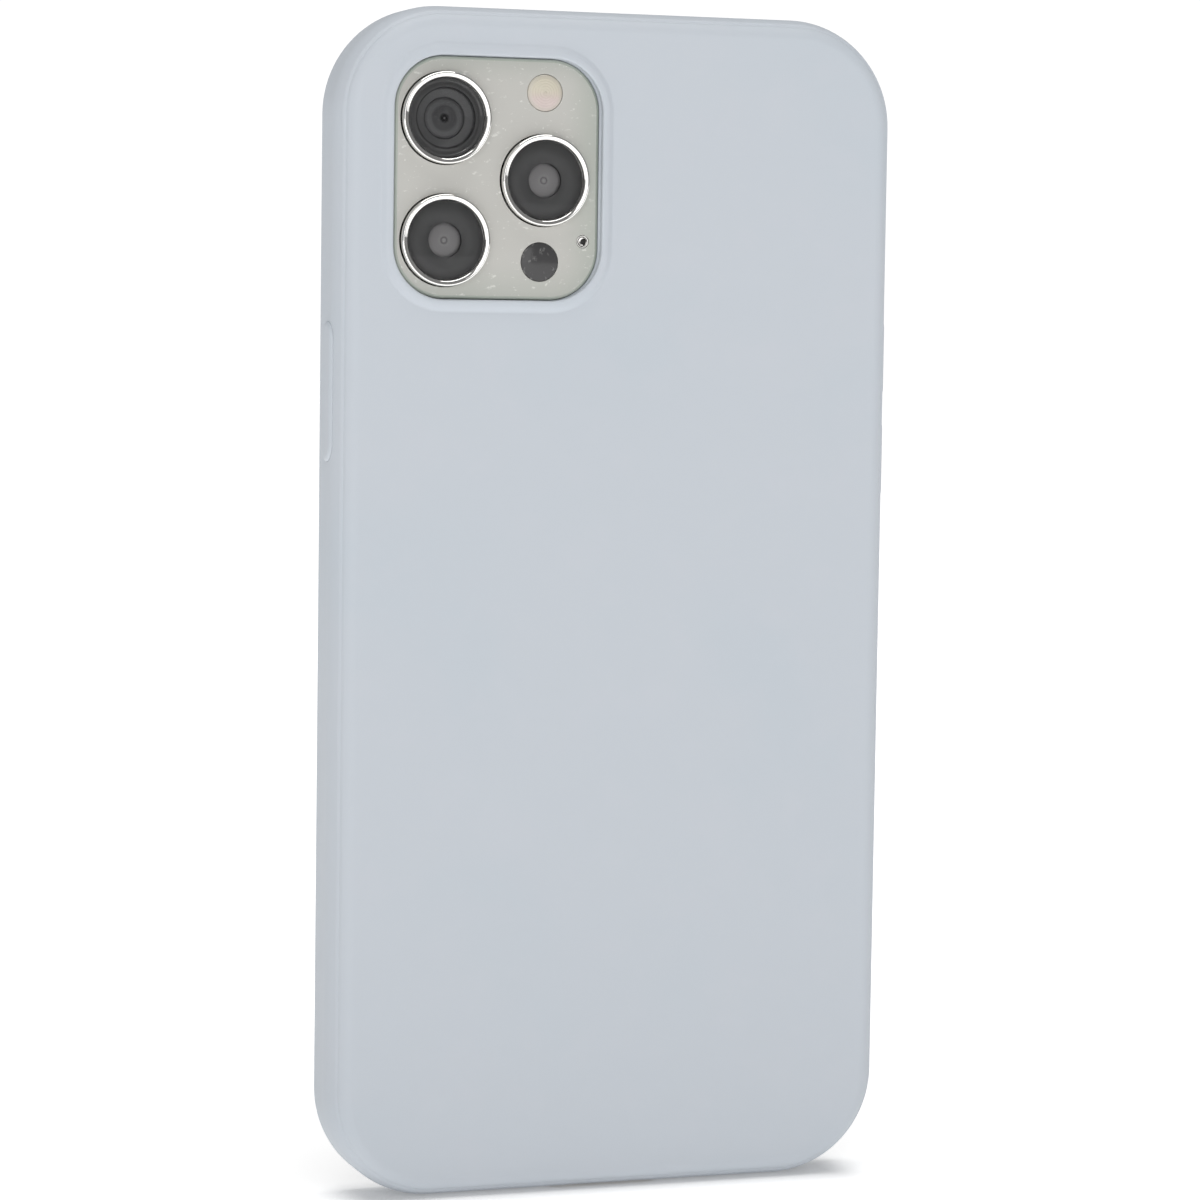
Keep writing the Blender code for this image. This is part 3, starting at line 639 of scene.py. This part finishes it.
def back_edge(steps=44):
    """The rounded back edge from the flat back to the side, with its soft mould crease."""
    crease = math.asin((EDGE_FORWARD - CREASE_DEPTH) / EDGE_FORWARD)
    points = []
    for i in range(steps + 1):
        angle = math.pi / 2 * (1 - i / steps)
        groove = 0.11 * math.exp(-(((angle - crease) / 0.055) ** 2))
        ridge = 0.035 * math.exp(-(((angle - crease + 0.17) / 0.07) ** 2))
        out = ridge - groove
        inset = EDGE_INWARD * (1 - math.cos(angle)) - out * math.cos(angle)
        y = BACK - EDGE_FORWARD + EDGE_FORWARD * math.sin(angle) + out * math.sin(angle)
        points.append((inset, min(y, BACK)))
    return points


def bead_profile():
    """(grown, y) points of the bead, from the camera opening's inner wall out to the flat back."""
    top = BACK + BEAD_HEIGHT
    points = arc((0, top - 0.28), (0.28, top), (0, top), 5)
    fall = ((0.45, 0.99), (0.65, 0.95), (0.85, 0.86), (1.05, 0.7), (1.22, 0.5), (1.4, 0.26), (1.55, 0.09))
    foot = ((1.7, -0.02), (1.85, -0.04), (2.15, 0))
    points += [(grown, BACK + share * BEAD_HEIGHT) for grown, share in fall + foot]
    return points


def make_case():
    floor = BACK - FLOOR_THICK
    lip_inner = CASE_SIDE + LIP_COVERS
    skirt = [(-SKIRT_GAP, floor + 0.15), (-SKIRT_GAP, ISLAND_TOP - 0.7), (-SKIRT_GAP, ISLAND_TOP - 0.32)]
    skirt.append((-SKIRT_GAP - 0.02, ISLAND_TOP - 0.28))
    loops = stacked_loops(island_outline, skirt)
    loops += stacked_loops(cutout_outline, [(0, BACK - 0.38), (0, BACK - 0.2), (0, BACK)])
    loops += stacked_loops(cutout_outline, [(-grown, y) for grown, y in bead_profile()])
    loops += stacked_loops(case_outline, back_edge())
    sides = [(0, y) for y in (FRONT + 3.0, FRONT + 1.2)]
    sides += arc((0, FRONT + 0.8), (0.7, FRONT), (0, FRONT), 6)
    sides += arc((lip_inner - 0.35, FRONT), (lip_inner, FRONT + 0.35), (lip_inner, FRONT), 4)
    inside = [(lip_inner, SCREEN - 0.1), (CASE_WALL, SCREEN - 0.1), (CASE_WALL, floor - 0.9)]
    inside += arc((CASE_WALL, floor - 0.9), (CASE_WALL + 0.95, floor), (CASE_WALL, floor), 4)[1:]
    loops += stacked_loops(case_outline, sides + inside)
    loops += stacked_loops(cutout_outline, [(-0.6, floor)])
    case = lofted("silicone_case", loops, SILICONE, ring=True)
    outer, inner = CASE_HALF[0] + 2, PHONE_HALF_X - 1
    prisms = []
    for name, side in (("side", 1), ("volume_up", -1), ("volume_down", -1)):
        low, high = box_mm(name + "_pad")
        gap = 2 * PAD_GAP
        outline = racetrack(high.z - low.z + gap, high.y - low.y + gap, (KEY_DEPTH, (high.z + low.z) / 2))
        prisms.append((outline, "X", *sorted((side * inner, side * outer))))
    carve(case, prisms, 0.09)
    apply_modifiers(case)
    switch_z = centre_mm("ring_switch").z
    mute = rounded_outline(*MUTE_OPENING_HALF, MUTE_OPENING_CORNER, (KEY_DEPTH, switch_z), steps=10)
    port = turned_quarter(racetrack(*PORT_OPENING, (KEY_DEPTH, 0)))
    prisms = [(mute, "X", -outer, -inner), (port, "Z", -2, PHONE_BOTTOM + 1)]
    for side in (-1, 1):
        slot = turned_quarter(racetrack(*SPEAKER_OPENING, (KEY_DEPTH, side * SPEAKER_X)))
        prisms.append((slot, "Z", -2, PHONE_BOTTOM + 1))
    carve(case, prisms, 0.3)
    weigh_normals(case)
    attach(case, "handset")
    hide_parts("case_shell")


# ---- the silicone pads over the buttons ------------------------------------------------------------
def make_pad(name, body, side):
    """A raised pad that follows the case's rounded wall, with a soft edge all round."""
    low, high = box_mm(name)
    length, width = high.z - low.z, high.y - low.y
    middle = (low.z + high.z) / 2
    inner = min(abs(low.x), abs(high.x))
    rises = [(0, None), (0, 0.0)] + [(r[0], r[1]) for r in arc((0, 0.0), (0.8, PAD_RISE), (0, PAD_RISE), 7)]
    rises += [(1.2, PAD_RISE), (1.8, PAD_RISE)]
    loops = []
    for inset, rise in rises:
        outline = racetrack(length - 2 * inset, width - 2 * inset, (KEY_DEPTH, middle), steps=20)
        loop = []
        for y, z in outline:
            x = inner if rise is None else CASE_HALF[0] - wall_inset(y) + rise
            loop.append(Vector((side * x, y, z)))
        loops.append(loop)
    pad = lofted("silicone_" + name, loops, SILICONE)
    weigh_normals(pad)
    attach(pad, body)
    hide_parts(name)


# ---- the rear glass with its island ----------------------------------------------------------------
def make_rear_glass():
    plate_back = BACK - FLOOR_THICK - 0.2
    plate_front = GLASS_LOW.y
    profile = [(0.9 + 1.5, plate_front), (0.9, plate_front)]
    profile += arc((0.9, plate_back - 0.3), (1.2, plate_back), (0.9, plate_back), 4)
    loops = stacked_loops(phone_outline, profile)
    rise = arc((-0.4, plate_back), (-0.1, plate_back + 0.3), (-0.1, plate_back), 4)
    rise += arc((-0.11, ISLAND_TOP - 0.45), (0.34, ISLAND_TOP), (-0.11, ISLAND_TOP), 8)
    loops += stacked_loops(island_outline, rise)
    bm = bmesh.new()
    loft_into(bm, loops)
    glass = make_object("backed_glass", bm, ISLAND_GLASS)
    low, high = plate_front - 1, RING_TOP + 1
    holes = [(circle(RING_RADIUS + RING_GAP, (at.x, at.z), 96), "Y", low, high) for at in LENSES.values()]
    for node in ("flash_diffuser", "depth_sensor_window", "rear_mic_mesh"):
        at = centre_mm(node)
        radius = (box_mm(node)[1].x - box_mm(node)[0].x) / 2 + WINDOW_GAP
        holes.append((circle(radius, (at.x, at.z)), "Y", low, high))
    carve(glass, holes, 0.07, 2)
    apply_modifiers(glass)
    carve(glass, [(island_outline(1.2), "Y", low, ISLAND_TOP - 0.95)], 0.1, 2)
    apply_modifiers(glass)
    mark_island_edge(glass)
    weigh_normals(glass)
    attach(glass, "handset")
    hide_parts("rear_glass")


def mark_island_edge(glass):
    """The island's rounded rim shows the glass's own green, with painted shade towards its low-X side."""
    glass.data.materials.append(ISLAND_EDGE)
    centre_x, centre_z = ISLAND_CENTRE
    for face in glass.data.polygons:
        at = face.center / MM
        outside = max(
            abs(at.x - centre_x) - ISLAND_HALF[0] + 0.6,
            abs(at.z - centre_z) - ISLAND_HALF[1] + 0.6,
            math.hypot(
                max(0, abs(at.x - centre_x) - ISLAND_HALF[0] + ISLAND_CORNER),
                max(0, abs(at.z - centre_z) - ISLAND_HALF[1] + ISLAND_CORNER),
            )
            - ISLAND_CORNER
            + 0.6,
        )
        if outside > 0 and at.y > BACK - 2:
            face.material_index = 1


# ---- rings and lenses ------------------------------------------------------------------------------
def make_ring(name, at):
    foot = ISLAND_TOP - 1.6
    profile = [(RING_RADIUS, foot)]
    profile += arc((RING_RADIUS, RING_TOP - 0.3), (RING_RADIUS - 0.25, RING_TOP), (RING_RADIUS, RING_TOP), 6)
    slope = ((5.92, 0.01), (5.86, 0.04), (5.62, 0.12), (5.52, 0.2), (5.46, 0.32), (5.46, 0.95), (5.0, 0.95))
    profile += [(radius, RING_TOP - drop) for radius, drop in slope] + [(5.0, foot)]
    ring = lathed("steel_ring_" + name, profile, at, STEEL, ring=True, steps=128)
    weigh_normals(ring)
    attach(ring, "handset")
    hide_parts("lens_ring_" + name)


def make_cover(name, at):
    bevel, fillet = 0.04, 0.12
    profile = [(0, COVER_UNDER), (COVER_RADIUS - bevel, COVER_UNDER), (COVER_RADIUS, COVER_UNDER + bevel)]
    profile += [(COVER_RADIUS, COVER_TOP - fillet), (COVER_RADIUS - fillet, COVER_TOP), (0, COVER_TOP)]
    cover = lathed("glass_cover_" + name, profile, at, CLEAR)
    weigh_normals(cover)
    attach(cover, "handset")
    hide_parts("lens_cover_" + name)


def barrel_profile(name):
    """The depth of a barrel's rim, and the outside of its profile up to there."""
    low, high = box_mm(name + "_lens_barrel")
    inner, rim = BARREL_RADIUS - BARREL_ROUNDING, high.y
    return rim, [(0, low.y), (BARREL_RADIUS, low.y), (BARREL_RADIUS, rim - BARREL_ROUNDING), (inner, rim)]


def dome(radius, foot, height, angles):
    return [(radius * math.cos(a), foot + height * math.sin(a)) for a in angles]


def make_main_barrel(at):
    """The wide open lens: a stepped black tube round a deep coated element."""
    rim, profile = barrel_profile("main")
    profile += [(4.05, rim), (3.98, rim - 0.1), (3.9, rim - 0.22), (2.95, rim - 0.42), (2.85, rim - 0.5)]
    profile += [(2.82, rim - 1.2), (2.8, rim - 1.9), (0, rim - 1.9)]
    # Painted shade: the black ring at 4.15 and the dark ring at 2.8 stand for the shade in the tube's steps.
    steps = [(4.15, 0.3, (0.008, 0.008, 0.008), 1.0), (2.8, 0.16, (0.07, 0.07, 0.07), 0.5)]
    tube = ringed("tube_main", at, steps, (0.135, 0.135, 0.137), 0.4)
    barrel = lathed("barrel_main", profile, at, tube)
    weigh_normals(barrel)
    wide = 2.76
    bulge = [(0, rim - 1.5), (wide, rim - 1.5), (wide, rim - 0.7)]
    bulge += dome(wide, rim - 0.7, 0.3, (0.15, 0.3, 0.5, 0.7, 0.9, 1.1, 1.3, 1.45))
    bulge += [(0, rim - 0.4)]
    # Painted shade and highlight: the dark ring at the element's edge, the darker zone round its middle and
    # the black pupil stand for the lens's dark depth; the grey spot in the pupil's middle is a painted
    # highlight.
    rings = [
        (2.7, 0.35, (0.08, 0.08, 0.082), 0.6),
        (1.3, 0.7, (0.07, 0.07, 0.072), 0.7),
        (0, 1.0, (0.004, 0.004, 0.004), 1.0),
        (0, 0.22, (0.2, 0.2, 0.2), 0.8),
    ]
    coated = ringed("coated_element", at, rings, (0.165, 0.165, 0.168), 0.25, Specular_IOR_Level=0.2)
    element = lathed("element_main", bulge, at, coated)
    finish_lens("main", barrel, element)
    slope = [(MASK_RADIUS, -0.08), (MASK_RADIUS, -0.03), (5.02, -0.03), (4.94, -0.45), (4.75, -0.38)]
    slope += [(4.5, -0.2), (4.34, -0.12), (4.22, -0.14), (4.2, -0.19), (4.42, -0.22), (4.47, -0.5)]
    slope += [(4.98, -0.62), (5.08, -0.08)]
    collar = lathed("collar_main", [(r, COVER_UNDER + y) for r, y in slope], at, COLLAR_BLACK, ring=True)
    weigh_normals(collar)
    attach(collar, "handset")


def make_masked_barrel(name, at):
    """A lens behind a black mask: only a small grey domed element shows."""
    rim, profile = barrel_profile(name)
    profile += [(2.5, rim), (2.45, rim - 0.1), (2.45, rim - 0.6), (0, rim - 0.6)]
    barrel = lathed("barrel_" + name, profile, at, TUBE_BLACK)
    weigh_normals(barrel)
    wide = 2.4
    bulge = [(0, rim - 0.55), (wide, rim - 0.55), (wide, rim - 0.2)]
    bulge += dome(wide, rim - 0.2, 0.16, (0.2, 0.4, 0.6, 0.8, 1.0, 1.2, 1.4))
    bulge += [(0, rim - 0.04)]
    # The light spot at the centre is a painted highlight.
    rings = [
        (0, 0.28, (0.5, 0.5, 0.5), 0.6),
        (0.42, 0.14, (0.12, 0.12, 0.12), 0.6),
        (0.75, 0.2, (0.42, 0.42, 0.42), 0.6),
        (2.3, 0.3, (0.27, 0.27, 0.27), 0.4),
    ]
    grey = (0.375, 0.366, 0.37)
    coat = {"Coat_Weight": 0.3, "Coat_Roughness": 0.1}
    coated = ringed("grey_element_" + name, at, rings, grey, 0.3, **coat)
    element = lathed("element_" + name, bulge, at, coated)
    finish_lens(name, barrel, element)
    hole, low, high = 2.36, COVER_UNDER - 0.09, COVER_UNDER - 0.03
    mask = [(hole, low), (MASK_RADIUS, low), (MASK_RADIUS, high), (hole, high)]
    plate = lathed("mask_" + name, mask, at, LENS_BLACK, ring=True)
    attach(plate, "handset")


def finish_lens(name, barrel, element):
    for piece in (barrel, element):
        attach(piece, LENS_BODIES[name])
    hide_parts(name + "_lens_barrel")


# ---- flash, depth sensor and microphone ------------------------------------------------------------
def make_island_parts():
    low, high = box_mm("flash_diffuser")
    at, radius = centre_mm("flash_diffuser"), (high.x - low.x) / 2
    crown = high.y + 0.22
    profile = [(0, low.y), (radius, low.y)] + arc((radius, high.y - 0.1), (0, crown), (radius, crown), 10)
    flash = lathed("flash_lens", profile, at, flash_milk(at))
    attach(flash, "handset")
    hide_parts("flash_diffuser")

    low, high = box_mm("depth_sensor_window")
    at, radius = centre_mm("depth_sensor_window"), (high.x - low.x) / 2
    profile = [(0, low.y), (radius, low.y), (radius, high.y - 0.06), (radius - 0.06, high.y), (0, high.y)]
    look = Look("sensor_window", (0.062, 0.061, 0.062), 0.18, Specular_IOR_Level=0.35)
    smear = look.noise(1.0, 4, look.stretched((1.2, 1, 0.8), (0, 0.5, 0)), 0.6)
    look.tint(look.remap(smear, 0.56, 0.68), (0.34, 0.34, 0.33), strength=0.55)
    look.roughen(look.remap(smear, 0.5, 0.7), 0.3)
    window = lathed("sensor_window", profile, at, look.done())
    weigh_normals(window)
    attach(window, "handset")
    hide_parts("depth_sensor_window")

    low, high = box_mm("rear_mic_mesh")
    at, radius = centre_mm("rear_mic_mesh"), (high.x - low.x) / 2
    profile = [(0, low.y), (radius, low.y), (radius, high.y + 0.25), (radius - 0.09, high.y + 0.3)]
    profile += [(radius - 0.16, high.y + 0.2), (radius - 0.18, low.y + 0.12), (0, low.y + 0.12)]
    mesh = lathed("mic_cup", profile, at, STEEL, steps=48)
    weigh_normals(mesh)
    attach(mesh, "handset")
    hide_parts("rear_mic_mesh")
    # Painted shade: a black disc inside the cup stands for the dark of the microphone's hole.
    bore, under, over = 0.36 * radius, low.y + 0.13, low.y + 0.2
    hole = [(0, under), (bore, under), (bore, over), (0, over)]
    dark = lathed("mic_hole_shade", hole, at - Vector((0.25 * radius, 0, 0)), TUBE_BLACK, steps=24)
    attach(dark, "handset")


# ---- the screen side, under the cover glass ----------------------------------------------------------
def make_screen_ink():
    """The black border printed behind the cover glass, with its notch and the sensors' windows."""
    behind = box_mm("cover_glass")[1].y
    border = dark_panel("border_ink", (0.006, 0.006, 0.006), 0.3)
    pupil = [(0, 0.8, (0.01, 0.012, 0.03), 1.0)]
    window = ringed("sensor_glint", centre_mm("front_camera"), pupil, (0.03, 0.03, 0.032), 0.1)
    back, front = behind + 0.03, behind + 0.012
    bm = bmesh.new()
    outer, inner = SCREEN_BORDER
    section = [(outer, front), (outer, back), (inner, back), (inner, front)]
    loft_into(bm, stacked_loops(phone_outline, section), ring=True)
    top = MIDDLE_Z + CASE_HALF[1] - CASE_SIDE
    notch = rounded_outline(17.4, 4.0, 2.6, (0, top - 5.2), steps=8)
    loft_into(bm, [[AXES["Y"](u, v, y) for u, v in notch] for y in (front - 0.003, back - 0.003)])
    ink = make_object("border_ink", bm, border)
    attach(ink, "handset")
    for node, radius in (("front_camera", 1.5), ("infrared_camera", 1.3), ("dot_projector", 1.2)):
        at = centre_mm(node)
        disc = [(0, front - 0.008), (radius, front - 0.008), (radius, front - 0.005), (0, front - 0.005)]
        glint = lathed(node + "_window", disc, at, window, steps=40)
        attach(glint, "handset")


# ---- the CAD's own pieces that keep their shape ----------------------------------------------------
def dress_frame_nodes():
    coil = centre_mm("charging_coil")
    screen = dark_panel("switched_off_panel", (0.004, 0.004, 0.006), 0.05)
    looks = {
        "frame_band": polished_steel("band_steel", (0.78, 0.77, 0.75), 0.12),
        "side_button": BUTTON_STEEL,
        "volume_up_button": BUTTON_STEEL,
        "volume_down_button": BUTTON_STEEL,
        "ring_switch": BUTTON_STEEL,
        "sim_tray": BUTTON_STEEL,
        "bottom_screw_left": BUTTON_STEEL,
        "bottom_screw_right": BUTTON_STEEL,
        "charge_port_shell": BUTTON_STEEL,
        "charge_port_tongue": contacts(),
        "earpiece_mesh": perforated("earpiece_mesh", 0.22),
        "bottom_microphone": perforated("microphone_mesh", 0.3),
        "cover_glass": screen_glass(),
        "display_panel": screen,
        "chassis_plate": ALUMINIUM,
        "charging_coil": wound_copper(coil),
        "alignment_magnets": segmented_magnet(coil),
        "logic_board": circuit_board(),
        "sim_card": moulded("card_plastic", (0.8, 0.8, 0.78), 0.5),
        "flash_emitter": moulded("phosphor", (0.75, 0.6, 0.1), 0.5),
        "haptic_mass": satin_metal("tungsten", (0.35, 0.35, 0.37), 0.35),
        "battery": moulded("battery_pouch", (0.03, 0.03, 0.033), 0.4, 0.4, 0.02),
        "port_flex": FLEX,
        "side_button_switch": FLEX,
        "volume_switches": FLEX,
    }
    for name in ("front_shield", "rear_shield", "sim_reader", "haptic_can"):
        looks[name] = CAN
    for name in LENSES:
        looks[name + "_camera_housing"] = CAN
    plastic = moulded("antenna_plastic", (0.5, 0.5, 0.47), 0.4)
    for level in ("lower", "upper"):
        for side in ("left", "right"):
            looks[f"antenna_break_{level}_{side}"] = plastic
    for name, obj in frame["nodes"].items():
        if name in REPLACED:
            continue
        material, slots = looks.get(name, BLACK_PLASTIC), obj.data.materials
        if not slots:
            slots.append(material)
        for index in range(len(slots)):
            slots[index] = material


REPLACED = {"case_shell", "side_pad", "volume_up_pad", "volume_down_pad", "rear_glass"}
REPLACED |= {"flash_diffuser", "depth_sensor_window", "rear_mic_mesh"}
REPLACED |= {form + name for name in LENSES for form in ("lens_ring_", "lens_cover_")}
REPLACED |= {name + "_lens_barrel" for name in LENSES}

make_case()
make_pad("side_pad", "side_key", 1)
make_pad("volume_up_pad", "volume_up_key", -1)
make_pad("volume_down_pad", "volume_down_key", -1)
make_rear_glass()
for lens, place in LENSES.items():
    make_ring(lens, place)
    make_cover(lens, place)
make_main_barrel(LENSES["main"])
make_masked_barrel("tele", LENSES["tele"])
make_masked_barrel("ultrawide", LENSES["ultrawide"])
make_island_parts()
make_screen_ink()
dress_frame_nodes()


# ---- the studio ------------------------------------------------------------------------------------
def make_floor():
    """A plain pale floor that glows; its glow is held back under and round the object, a painted shadow."""
    bm = bmesh.new()
    half = 6000.0
    corners = [(-half, -half), (half, -half), (half, half), (-half, half)]
    bm.faces.new([bm.verts.new((x, y, -0.05)) for x, y in corners])
    look = Look("pale_floor", (0.8, 0.8, 0.8), 0.7, Emission_Color=(1, 1, 1, 1))
    look.mottled(40, (0.82, 0.82, 0.82))
    away = look.math("SQRT", look.math("ADD", look.squared_beyond("X", 34), look.squared_beyond("Y", 3)))
    # Painted shadow: the glow is weakest under the object and grows with distance from it.
    glow = look.math("ADD", look.remap(away, -2, 7, 0.12, 0.52), look.remap(away, 5, 120, 0.0, 0.22))
    glow = look.math("ADD", glow, look.remap(away, 150, 900, 0.0, 0.16))
    look.links.new(glow, look.shader.inputs["Emission Strength"])
    floor = make_object("pale_floor", bm, look.done())


def make_light(name, place, target, size, watts, colour=(1, 1, 1)):
    light = bpy.data.lights.new(name, "AREA")
    light.shape = "RECTANGLE"
    light.size, light.size_y = size
    light.energy = watts
    light.color = colour
    obj = bpy.data.objects.new(name, light)
    obj.location = place
    obj.rotation_euler = (Vector(target) - Vector(place)).to_track_quat("-Z", "Y").to_euler()
    bpy.context.scene.collection.objects.link(obj)


def make_world():
    """White where the camera sees it, and a weaker even light for everything else."""
    world = bpy.data.worlds.new("studio")
    bpy.context.scene.world = world
    world.use_nodes = True
    nodes, links = world.node_tree.nodes, world.node_tree.links
    seen, lit = nodes.new("ShaderNodeBackground"), nodes["Background"]
    for background, strength in ((seen, 1.05), (lit, 0.22)):
        background.inputs["Color"].default_value = (1, 1, 1, 1)
        background.inputs["Strength"].default_value = strength
    rays = nodes.new("ShaderNodeLightPath")
    mix = nodes.new("ShaderNodeMixShader")
    links.new(rays.outputs["Is Camera Ray"], mix.inputs["Fac"])
    links.new(lit.outputs[0], mix.inputs[1])
    links.new(seen.outputs[0], mix.inputs[2])
    links.new(mix.outputs[0], nodes["World Output"].inputs["Surface"])


def make_camera():
    """The camera stands behind the handset, a little to its +X side and a little above its middle."""
    azimuth, elevation, roll = (math.radians(a) for a in (19.281, 4.285, 0.810))
    aim_right, aim_up = math.radians(-0.0972), math.radians(0.0545)
    distance = 0.54038
    middle = Vector((0, (FRONT + BACK) / 2, MIDDLE_Z)) * MM
    back = Vector(
        (
            math.sin(azimuth) * math.cos(elevation),
            math.cos(azimuth) * math.cos(elevation),
            math.sin(elevation),
        )
    )
    right = (-back).cross(Vector((0, 0, 1))).normalized()
    turn = Matrix((right, right.cross(-back), back)).transposed().to_4x4()
    tilt = Matrix.Rotation(roll, 4, "Z")
    tilt = tilt @ Matrix.Rotation(-aim_right, 4, "Y") @ Matrix.Rotation(aim_up, 4, "X")
    camera = bpy.data.cameras.new("camera")
    camera.lens = 115.81
    camera.sensor_width = 36
    camera.clip_start = 0.01
    obj = bpy.data.objects.new("camera", camera)
    obj.matrix_world = Matrix.Translation(middle + back * distance) @ turn @ tilt
    bpy.context.scene.collection.objects.link(obj)
    bpy.context.scene.camera = obj


make_floor()
make_world()
make_light("key", (0.57, 1.43, 0.6), (0, 0, 0.05), (1.1, 1.1), 6.0)
make_light("top", (0.0, 0.15, 1.5), (0, 0, 0.1), (1.2, 1.2), 13.4)
make_camera()
bpy.context.scene.view_settings.view_transform = "Standard"
